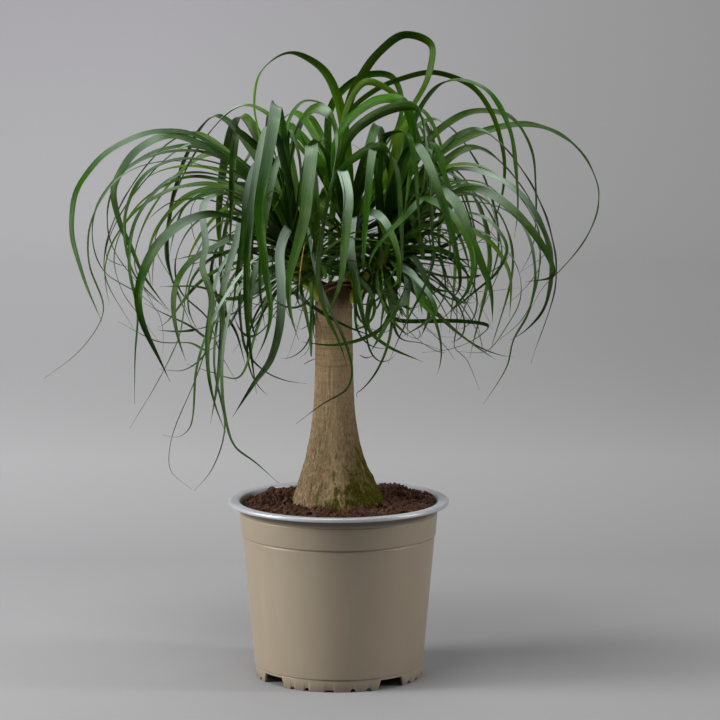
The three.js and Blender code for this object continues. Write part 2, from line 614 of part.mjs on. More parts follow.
// Stations along a curve in space: place on the plane, depth, and share of the length.
function stationsOn(curve) {
  const lengths = distances(curve);
  const paces = [0];
  for (let i = 1; i < curve.length; i += 1) {
    const step = unit(along(curve[i], curve[i - 1], -1));
    const before = i > 1 ? unit(along(curve[i - 1], curve[i - 2], -1)) : step;
    const turn = Math.hypot(...along(step, before, -1));
    paces.push(paces[i - 1] + lengths[i] - lengths[i - 1] + BEND_PACE * turn);
  }
  const stations = [];
  let i = 0;
  for (let station = 0; station <= STATIONS; station += 1) {
    const target = paces[paces.length - 1] * station / STATIONS;
    while (i < curve.length - 2 && paces[i + 1] < target) i += 1;
    const t = (target - paces[i]) / (paces[i + 1] - paces[i]);
    const point = along(curve[i], along(curve[i + 1], curve[i], -1), t);
    stations.push({
      spot: toPlane(point),
      depth: point[1],
      share: mix(lengths[i], lengths[i + 1], t) / lengths[lengths.length - 1],
    });
  }
  return stations;
}

// Place on the plane of the routes for a point in space, and the way back.
function toPlane([x, y, z]) {
  const scale = 1 + y / EYE.distance;
  return [EYE.x + (x - EYE.x) / scale, EYE.z + (z - EYE.z) / scale];
}

function fromPlane([across, up], depth) {
  const scale = 1 + depth / EYE.distance;
  return [EYE.x + (across - EYE.x) * scale, depth, EYE.z + (up - EYE.z) * scale];
}

// Root of a blade inside the core of its head: to the side it leaves by, lower for low blades.
function rootSpot(core, toward) {
  const way = unit(along(toward, core, -1));
  return [core[0] + way[0] * ROOT.spread, core[1] + way[1] * ROOT.spread, core[2] + way[2] * ROOT.climb];
}

// Blade from a row of the list: its depth runs smoothly from the root through the middle to the tip.
function listedBlade(head, [width, turn, middle, end, flat, torn]) {
  const { core } = HEADS[head];
  const aim = fromPlane([flat[0], flat[1]], mix(core[1], middle, 0.5));
  const root = rootSpot(core, aim);
  const points = [toPlane(root)];
  for (let i = 0; i < flat.length; i += 2) points.push([flat[i], flat[i + 1]]);
  const curve = smoothCurve(points);
  const route = stationsOn(curve.map((spot, i) => {
    const u = i / (curve.length - 1);
    const depth = root[1] * (2 * u * u - 3 * u + 1) + middle * (4 * u - 4 * u * u) + end * (2 * u * u - u);
    return fromPlane(spot, depth);
  }));
  return { head, width, turn: turn * DEGREE, route, torn };
}

// Blade drawn from the seed: out and up from the head, over and down.
function fanBlade(head, fan, index, random) {
  const { core } = HEADS[head];
  const bearing = mix(fan.from, fan.to, (index + random()) / fan.count) * DEGREE;
  const outward = core[0] * Math.cos(bearing) + core[1] * Math.sin(bearing);
  const reach = Math.min(between(fan.reach, random), FAN_LIMIT - outward);
  const rise = between(fan.rise, random);
  const drop = between(fan.drop, random);
  const width = between(fan.width, random);
  const lean = (random() - 0.5) * FAN_LEAN;
  const points = FAN_WAY.map(([out, up, down, turned]) => [
    core[0] + reach * out * Math.cos(bearing + lean * turned),
    core[1] + reach * out * Math.sin(bearing + lean * turned),
    core[2] + rise * up - drop * down,
  ]);
  const route = stationsOn(smoothCurve([rootSpot(core, points[0]), ...points]));
  return { head, width, turn: FAN_TURN * DEGREE, route };
}

// Width of a blade at a share u of its length.
function bladeWidth(blade, u) {
  const opening = Math.min(1, WIDTH.root + u * WIDTH.opening);
  const taper = blade.torn ? 1 : Math.pow(Math.max(0, 1 - Math.pow(u, WIDTH.taper)), WIDTH.tipShape);
  return Math.max(WIDTH.tip, blade.width * opening * taper);
}

// Nearest approach of two segments: shares along each and the vector between them.
function nearest(p1, q1, p2, q2) {
  const d1 = q1.map((value, i) => value - p1[i]);
  const d2 = q2.map((value, i) => value - p2[i]);
  const r = p1.map((value, i) => value - p2[i]);
  const clamp = (value) => Math.min(1, Math.max(0, value));
  const a = dotProduct(d1, d1);
  const e = dotProduct(d2, d2);
  const b = dotProduct(d1, d2);
  const c = dotProduct(d1, r);
  const f = dotProduct(d2, r);
  const flat = Math.max(a * e - b * b, 1e-9);
  let s = clamp((b * f - c * e) / flat);
  const t = clamp((b * s + f) / e);
  s = clamp((b * t - c) / a);
  return { s, t, gap: r.map((value, i) => value + d1[i] * s - d2[i] * t) };
}

// Points of a blade in space.
const bladePoints = (blade) => blade.route.map(({ spot, depth }) => fromPlane(spot, depth));

// Pushes blades apart in depth where they come too near each other, and clear of the trunk.
function spaceOut(blades) {
  const radii = blades.map((blade) => (
    blade.route.map(({ share }) => bladeWidth(blade, share) * SPACING.share)));
  const rest = blades.map((blade) => blade.route.map(({ depth }) => depth));
  for (let round = 0; round < SPACING.rounds; round += 1) {
    const points = blades.map(bladePoints);
    const pushes = blades.map(() => new Array(STATIONS + 1).fill(0));
    const boxes = points.map((row) => [0, 1, 2].map((k) => {
      const values = row.map((point) => point[k]);
      return [Math.min(...values) - SPACING.reach, Math.max(...values) + SPACING.reach];
    }));
    const keep = (row, i, value) => {
      if (Math.abs(value) > Math.abs(row[i])) row[i] = value;
    };
    for (let a = 0; a < blades.length; a += 1) {
      for (let b = a + 1; b < blades.length; b += 1) {
        const [first, second] = [boxes[a], boxes[b]];
        if ([0, 1, 2].some((k) => first[k][0] > second[k][1] || second[k][0] > first[k][1])) continue;
        const same = blades[a].head === blades[b].head;
        const start = same ? SPACING.rootSegments : 0;
        for (let i = start; i < STATIONS; i += 1) {
          for (let j = start; j < STATIONS; j += 1) {
            const factor = same ? SPACING.sameHead : SPACING.otherHead;
            const need = (radii[a][i] + radii[b][j]) * factor + SPACING.gap;
            const [p1, q1, p2, q2] = [points[a][i], points[a][i + 1], points[b][j], points[b][j + 1]];
            const apart = (k) => Math.min(p1[k], q1[k]) - Math.max(p2[k], q2[k]) > need
              || Math.min(p2[k], q2[k]) - Math.max(p1[k], q1[k]) > need;
            if (apart(0) || apart(2) || apart(1)) continue;
            const { s, t, gap } = nearest(p1, q1, p2, q2);
            const aside = gap[0] * gap[0] + gap[2] * gap[2];
            if (aside + gap[1] * gap[1] >= need * need) continue;
            const way = gap[1] >= 0 ? 1 : -1;
            const push = way * (Math.sqrt(need * need - aside) - Math.abs(gap[1])) * 0.5;
            keep(pushes[a], i, push * Math.min(1, 1.5 - s));
            keep(pushes[a], i + 1, push * Math.min(1, 0.5 + s));
            keep(pushes[b], j, -push * Math.min(1, 1.5 - t));
            keep(pushes[b], j + 1, -push * Math.min(1, 0.5 + t));
          }
        }
      }
    }
    blades.forEach((blade, index) => {
      const shifts = blade.route.map(({ depth }, i) => (
        depth - rest[index][i] + SPACING.step * pushes[index][i]));
      for (let i = 1; i <= STATIONS; i += 1) {
        const beside = (shifts[i - 1] + shifts[Math.min(i + 1, STATIONS)]) / 2;
        const station = blade.route[i];
        station.depth = rest[index][i] + mix(shifts[i], beside, SPACING.smooth);
        const [x, y, z] = fromPlane(station.spot, station.depth);
        const [, half, shift] = trunkAt(z);
        const clear = half + radii[index][i] + SPACING.trunkGap;
        if (z < SPACING.trunkTop && i >= SPACING.rootSegments && Math.hypot(x - shift, y) < clear) {
          const out = Math.sqrt(Math.max(0, clear * clear - (x - shift) ** 2));
          station.depth = y > SPACING.trunkBack ? out : -out;
        }
      }
    });
  }
}

// Flat side and upper face of a blade at each of its points: carried along without twist, then the
// upper face is turned towards the front by no more than the blade's own angle.
function bladeFrames(points, turn) {
  const tangents = points.map((_, i) => {
    const before = points[Math.max(0, i - 1)];
    const after = points[Math.min(points.length - 1, i + 1)];
    return unit(after.map((value, k) => value - before[k]));
  });
  let side = unit(cross(tangents[0], [0, 0, 1]));
  if (cross(tangents[0], side)[2] < 0) side = side.map((value) => -value);
  let angle = 0;
  return tangents.map((tangent, i) => {
    side = unit(along(side, tangent, -dotProduct(side, tangent)));
    const face = cross(tangent, side);
    const toFront = Math.atan2(-side[1], -face[1]);
    const wanted = Math.min(Math.abs(toFront), turn * Math.min(1, TURN.gain * Math.abs(Math.sin(toFront))));
    const change = Math.sign(toFront) * wanted - angle;
    angle += Math.sign(change) * Math.min(Math.abs(change), TURN.step * DEGREE);
    return {
      side: unit(along(side.map((value) => value * Math.cos(angle)), face, -Math.sin(angle))),
      face: unit(along(face.map((value) => value * Math.cos(angle)), side, Math.sin(angle))),
    };
  });
}

// Blade solid: a flat upper face over a keel, drawn out to a point.
function makeBlade(blade) {
  const all = bladePoints(blade);
  const length = all.reduce((sum, p, i) => (i ? sum + Math.hypot(...along(p, all[i - 1], -1)) : 0), 0);
  const stride = length > LONG_BLADE ? 1 : 2;
  const frames = bladeFrames(all, blade.turn);
  const rings = [];
  for (let i = 0; i < STATIONS; i += stride) {
    const half = bladeWidth(blade, blade.route[i].share) / 2;
    const { side, face } = frames[i];
    const keel = SECTION.keel * Math.min(1, SECTION.leastKeel + 2 * half / SECTION.keelWidth);
    rings.push([along(all[i], side, half), along(all[i], side, -half), along(all[i], face, -keel)]);
  }
  return ringSolid(rings, along(all[0], unit(along(all[1], all[0], -1)), -1), all[STATIONS]);
}

// Stalk of a head: a round sheath that leaves the trunk and swells into the core.
function makeStalk({ stalk, radii }) {
  const rings = stalk.map((point, i) => {
    const before = stalk[Math.max(0, i - 1)];
    const after = stalk[Math.min(stalk.length - 1, i + 1)];
    const way = unit(along(after, before, -1));
    const side = unit(cross(way, [0, 1, 0]));
    const back = cross(side, way);
    const ring = [];
    for (let k = 0; k < STALK.sides; k += 1) {
      const angle = k * 2 * Math.PI / STALK.sides;
      ring.push(along(along(point, side, radii[i] * Math.cos(angle)), back, radii[i] * Math.sin(angle)));
    }
    return ring;
  });
  const top = stalk[stalk.length - 1];
  return ringSolid(rings, along(stalk[0], [0, 0, 1], -STALK.below), along(top, [0, 0, 1], STALK.above));
}

// Core of a head, where the roots of its blades are sunk.
function makeCore([x, y, z]) {
  const profile = [];
  for (let i = 0; i <= CORE.rings; i += 1) {
    const angle = (i / CORE.rings - 0.5) * Math.PI;
    const radius = i === 0 || i === CORE.rings ? 0 : CORE.radius * Math.pow(Math.cos(angle), CORE.bluntness);
    profile.push([radius, CORE.halfHeight * Math.sin(angle)]);
  }
  return revolve(profile, CORE.sides, [x, y, z]);
}

function makeBlades() {
  const random = randomSource(FAN_SEED);
  const blades = [];
  for (const head of Object.keys(HEADS)) {
    BLADES[head].forEach((row) => blades.push(listedBlade(head, row)));
    for (const fan of FANS[head]) {
      for (let i = 0; i < fan.count; i += 1) blades.push(fanBlade(head, fan, i, random));
    }
  }
  spaceOut(blades);
  return blades;
}

const trunkSeat = makeTrunk(SEAT_GAP);
const blades = makeBlades();
const makeHead = (head) => joinAll([
  makeStalk(HEADS[head]),
  makeCore(HEADS[head].core),
  ...blades.filter((blade) => blade.head === head).map(makeBlade),
]).subtract(trunkSeat);

const plant = new THREE.Group();
plant.name = 'ponytail_palm';
plant.add(
  toMesh(makePot(), 'pot', { color: 0x9a8e7a, roughness: 0.45, metalness: 0 }),
  toMesh(makeSoil(trunkSeat), 'soil', { color: 0x3a261c, roughness: 1, metalness: 0 }),
  toMesh(makeTrunk(0), 'trunk', { color: 0x8a7456, roughness: 0.9, metalness: 0 }),
  toMesh(makeHead('left'), 'leaf_head_left', { color: 0x3f6b22, roughness: 0.5, metalness: 0 }),
  toMesh(makeHead('back'), 'leaf_head_back', { color: 0x3a6420, roughness: 0.5, metalness: 0 }),
  toMesh(makeHead('right'), 'leaf_head_right', { color: 0x44711f, roughness: 0.5, metalness: 0 }),
);

export default plant;
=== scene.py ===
import math

import bmesh
import bpy
import numpy as np
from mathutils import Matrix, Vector, noise
from mathutils.geometry import delaunay_2d_cdt


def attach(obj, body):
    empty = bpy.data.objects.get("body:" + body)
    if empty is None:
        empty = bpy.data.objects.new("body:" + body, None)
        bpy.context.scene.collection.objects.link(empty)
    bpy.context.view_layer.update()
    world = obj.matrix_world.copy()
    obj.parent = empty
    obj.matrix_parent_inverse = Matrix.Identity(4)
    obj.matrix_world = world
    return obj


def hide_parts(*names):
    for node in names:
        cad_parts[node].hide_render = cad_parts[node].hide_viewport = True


# Ponytail palm in a plastic nursery pot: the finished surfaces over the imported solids.
# Shapes are worked out in millimetres in the frame of the solids (Z up, front towards -Y),
# and become metres when they are turned into meshes.
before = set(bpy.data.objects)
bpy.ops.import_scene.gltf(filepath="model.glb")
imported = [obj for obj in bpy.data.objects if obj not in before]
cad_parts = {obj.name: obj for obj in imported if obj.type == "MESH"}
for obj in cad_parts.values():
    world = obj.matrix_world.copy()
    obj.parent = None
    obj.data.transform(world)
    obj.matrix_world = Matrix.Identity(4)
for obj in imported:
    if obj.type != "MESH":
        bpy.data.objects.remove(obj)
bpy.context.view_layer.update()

MM = 0.001
UP = np.array([0.0, 0.0, 1.0])
TURN_ROUND = 2 * math.pi
# Slots of the second material of a piece: the pot's inside, a head's stalk and core, dry curls.
SILVER = 1
SHEATH = 1
DRY = 1

# Camera of the photograph and the studio around the plant, in metres and degrees.
CAMERA = {"place": (0.02027, -3.0, 0.7094), "tilt": 7.70, "lens": 159.56, "sensor": 36.0}
STUDIO = {"half_width": 6.0, "front": 6.0, "back": 3.7, "sweep": 1.6, "height": 6.0, "steps": 24}
WORLD_LIGHT = 0.085
# Lights: place, point aimed at, size across and up, power in watts.
LIGHTS = {
    "key": [(-2.35, -0.5, 1.1), (0.0, 0.0, 0.3), (0.9, 1.4), 74.0],
    "top": [(-0.35, -0.6, 2.1), (0.0, 0.0, 0.35), (0.9, 0.7), 30.0],
    "back": [(0.3, 0.95, 2.0), (0.0, 0.0, 0.45), (1.4, 0.4), 10.0],
    "edge": [(1.8, -0.3, 0.9), (0.0, 0.0, 0.25), (0.25, 1.5), 18.0],
    "wall": [(-0.8, 3.0, 3.0), (-0.8, 4.9, 0.9), (3.6, 0.4), 65.0],
}

# Pot: the outline of the solid with its edges rounded, and the same feet.
POT = {
    "columns": 320, "wall": 1.6, "wall_top": 163.6, "wall_top_radius": 94.8,
    "foot_radius": 79.2, "foot_height": 12.0, "foot_thickness": 1.8, "foot_top_thickness": 2.4,
    "floor_thickness": 1.8, "inside_levels": (120.0, 80.0, 40.0, 18.0),
}
# Edge of the foot: how far it is rounded, sunk, raised at the outside, and kept below the wall.
FOOT_EDGE = {"round": 0.3, "sunk": 0.001, "raised": 0.25, "wall_above": 0.4}
FOOT_FIRST_ANGLE = -6
FOOT_ARCHES = {"count": 4, "offset": 45, "bottom": 31, "top": 25, "height": 9.4}
# Notches of each quarter of the foot: offset in degrees, width and height.
FOOT_NOTCHES = [[-27, 5, 3], [-16, 5, 3], [0, 10, 2], [16, 5, 3], [27, 5, 3]]
# Outline of a notch, as shares of its half width and height.
NOTCH_OUTLINE = [[0.5, 1.0], [0.9, 0.6], [0.97, 0.0]]
DRAIN_HOLES = {"count": 4, "circle": 56, "radius": 6.5, "centre_radius": 7, "sides": 32}
# Kind of filling between outlines that leaves out the holes, and how near points may lie.
WITHOUT_HOLES = 5
FILL_PRECISION = 1e-6
# Outside of the wall: height, and how far it stands out from the plain taper.
WALL_LINES = [
    [10.6, 0.0], [11.1, -0.1], [11.4, -0.7], [11.8, -0.7], [12.1, 0.5], [12.8, 0.55],
    [30.0, 0.35], [70.0, 0.05], [110.0, -0.2], [134.5, -0.5], [136.0, -0.55], [136.4, -1.3],
    [137.0, -1.3], [137.4, 0.35], [138.4, 0.4], [148.0, 0.2], [157.2, 0.05], [157.9, 0.0],
    [158.2, -0.8], [158.8, -0.8], [159.1, 0.1], [159.8, 0.2], [162.6, 0.2],
]
# Section of the rim from the collar over the lip to the inside (radius, height), and where silver starts.
RIM_SECTION = [
    [95.7, 163.2], [95.9, 163.8], [96.1, 164.4], [96.3, 165.0], [96.4, 165.7], [96.8, 166.2],
    [98.0, 166.4], [101.0, 166.3], [103.4, 166.1], [104.3, 166.2], [104.8, 166.6], [105.0, 167.2],
    [105.0, 168.2], [104.8, 169.2], [104.3, 169.8], [103.4, 170.1], [101.0, 170.1], [97.5, 169.9],
    [95.6, 169.6], [94.7, 169.1], [94.2, 168.2], [93.9, 166.0], [93.4, 162.5], [92.9, 158.0],
]
SILVER_FROM = [103.4, 166.1]

# Trunk: height, half width and sideways shift of the axis, as on the solid.
TRUNK_PROFILE = [
    [116, 14, 0], [121, 28, 0], [131, 39, 0], [146, 45.5, 0], [160, 46, 0], [171.4, 42.8, -0.2],
    [180, 39.2, -1.1], [189.6, 35.6, -2.1], [198, 31.8, -3], [208, 28.3, -3.8], [221, 25, -4.1],
    [235.4, 22.4, -4.3], [249, 20.5, -4.3], [262.7, 19.2, -4.3], [282, 18.5, -4.4],
    [302, 18.1, -4.5], [324, 17.8, -4.6], [346, 17.6, -4.7], [364, 17.5, -4.8], [378, 16.6, -4.8],
]
TRUNK = {"from": 150.0, "top": 377.0, "columns": 216, "rows": 330, "curve_steps": 8}
# Relief of the bark: depth of each layer, how its heights are drawn out, and its scale and seed.
# Furrows grow down the flare, rings fade there, and the top is ragged below the cut.
BARK = {
    "flare_top": 262, "flare_height": 90, "ragged_from": 364, "ragged_height": 13,
    "fibre": {"depth": 0.42, "draw": 0.14, "scale": 3.4, "seed": 1.7},
    "furrow": {"depth": 0.35, "flare_depth": 0.95, "draw": 0.32, "scale": 9.5, "seed": 4.2},
    "ring": {"depth": 0.16, "radius": 0.3, "pace": 0.42},
    "ragged": {"depth": 1.5, "draw": 0.3, "scale": 4.0, "seed": 9.4},
    "torn": {"depth": 2.2, "draw": 1.0, "scale": 4.5, "seed": 6.1},
}
# Old cut: height of its middle, shares of the rings across it, and its lumps.
CUT = {
    "centre": 372.0, "shares": (0.93, 0.85, 0.72, 0.56, 0.4, 0.24, 0.1),
    "depth": 1.7, "scale": 4.2, "seed": 2.4,
}

# Soil: level and heap as on the solid, lumps (depth, level, scale, seed), and the drop at its edge.
SOIL = {
    "level": 165.0, "heap": 3.6, "heap_x": 45.0, "heap_y": 50.0, "heap_reach": 45.0,
    "lumps": [(1.9, 0, 17, 3.1), (1.1, 5, 5.5, 7.7)], "rings": 80, "columns": 300,
    "edge_radius": 92.8, "edge_drop": 1.6, "edge_from": 0.9, "edge_share": 0.1,
    "wall_levels": (140.0, 90.0), "wall_gap": 0.5, "bottom": 14.2,
}
# Loose crumbs: sorts (count, fineness, sizes), where they lie as shares of the soil's radius and
# of its area, their stretch and dents, and how far they stand up.
CRUMBS = {
    "seed": 91, "sorts": [(4600, 1, (0.6, 2.0)), (900, 2, (1.8, 4.4))],
    "reach": 0.985, "area": (0.16, 1.0), "stretch": (0.55, 1.25), "dent": 0.22, "perch": (0.0, 0.45),
}

# Thin young leaves that curl among the heads, in millimetres and degrees; heads: count and bearings.
CURLS = {
    "seed": 7703, "step": 4.0, "width": (1.9, 4.6), "length": (50, 165), "points": 3, "root": 0.8,
    "lift": (-0.75, 0.85), "droop": 0.007, "droop_fade": 0.7, "curl": (0.012, 0.062),
    "axis": (1, 1, 0.7), "opening": (0.5, 3), "taper": 3.5, "least": 0.08, "curve_steps": 2,
    "heads": {"left": (80, 120, 380), "back": (40, -90, 270), "right": (96, -170, 70)},
    "trunk_gap": 3.0, "top_gap": 12.0, "dry_share": 0.05, "dry_width": 1.0, "tone": 0.75, "youth_and_glow": 0.3,
}
# Short sheathing leaf bases that clothe the upper part of a stalk and its core.
SHEATHS = {
    "count": 22, "part": (0.26, 0.95), "turn": 2.4, "stray": 0.4, "across": (0.2, 0.3, 0.9), "sink": 1.0,
    "width": (7.5, 11.5), "least": 0.05, "base_width": 0.75, "length": (26, 58), "low_length": 0.6,
    "spread": 0.55, "lean": (0.6, 1.5), "bend": 2.2, "droop": 0.25, "steps": 14, "points": 5,
    "tone": (0.2, 0.8), "youth_and_glow": (0.2, 0.55), "along": 0.5,
}
# Dry strands and bits around the trunk's cut: half width, then points of their route.
STRANDS = [
    [0.7, (-18, -13, 366), (-12, -17, 371), (-3, -19, 376), (6, -18.5, 377.5), (12, -15, 377)],
    [0.5, (-20, -8, 371), (-14, -15, 376), (-4, -18, 380), (4, -16, 384), (10, -10, 386)],
    [0.5, (9, -17.5, 374), (13, -17, 369), (15, -16, 362), (13, -18, 355)],
    [0.6, (-22, -6, 352), (-25, -8, 349), (-26, -8, 343), (-29, -9, 338), (-36, -9, 334)],
    [0.5, (-24, -7, 350), (-29, -8, 350), (-34, -8, 352), (-38, -8, 353)],
    [0.5, (-26, -8, 341), (-26, -9, 334), (-27, -9, 326), (-28, -9, 318)],
    [0.5, (18, -4, 345), (24, -5, 347), (29, -6, 351)],
    [0.6, (20, -5, 309), (26, -8, 307), (33, -9, 309)],
    [0.5, (-22, -8, 306), (-28, -10, 304), (-33, -10, 301)],
]
STRAND = {"steps": 6, "sides": 6, "ends": (0.12, 0.95)}

# Leaf blades, as in the solids: eye point of the routes, stations, width, turn, roots and heads.
EYE = {"x": 20.0, "distance": 3000.0, "z": 709.0}
ROUTE_STEPS = 12
STATIONS = 12
BEND_PACE = 32.0
WIDTH = {"root": 0.5, "opening": 3.0, "taper": 4.5, "tip_shape": 1.15, "tip": 1.7}
TURN = {"gain": 1.4, "step": 17.0}
ROOT = {"spread": 4.2, "climb": 6.0}
CORE = {"radius": 12.3, "half_height": 18, "bluntness": 0.6}
STALK = {"steps": 8, "sides": 28, "core_rings": 12, "core_inset": 0.96, "core_end": 0.02}
HEADS = {
    "left": {
        "core": [-36, -7, 397], "radii": [5, 6.5, 8, 8.5],
        "stalk": [[-12, -4, 356], [-21, -6, 370], [-30, -8, 384], [-36, -7, 397]],
    },
    "back": {
        "core": [11, 15, 416], "radii": [5, 7, 8.5, 8.5],
        "stalk": [[7, 13, 356], [10, 20, 374], [11, 19, 396], [11, 15, 416]],
    },
    "right": {
        "core": [41, -2, 401], "radii": [5, 6.5, 8, 8.5],
        "stalk": [[5, -2, 358], [19, -3, 371], [31, -3, 385], [41, -2, 401]],
    },
}
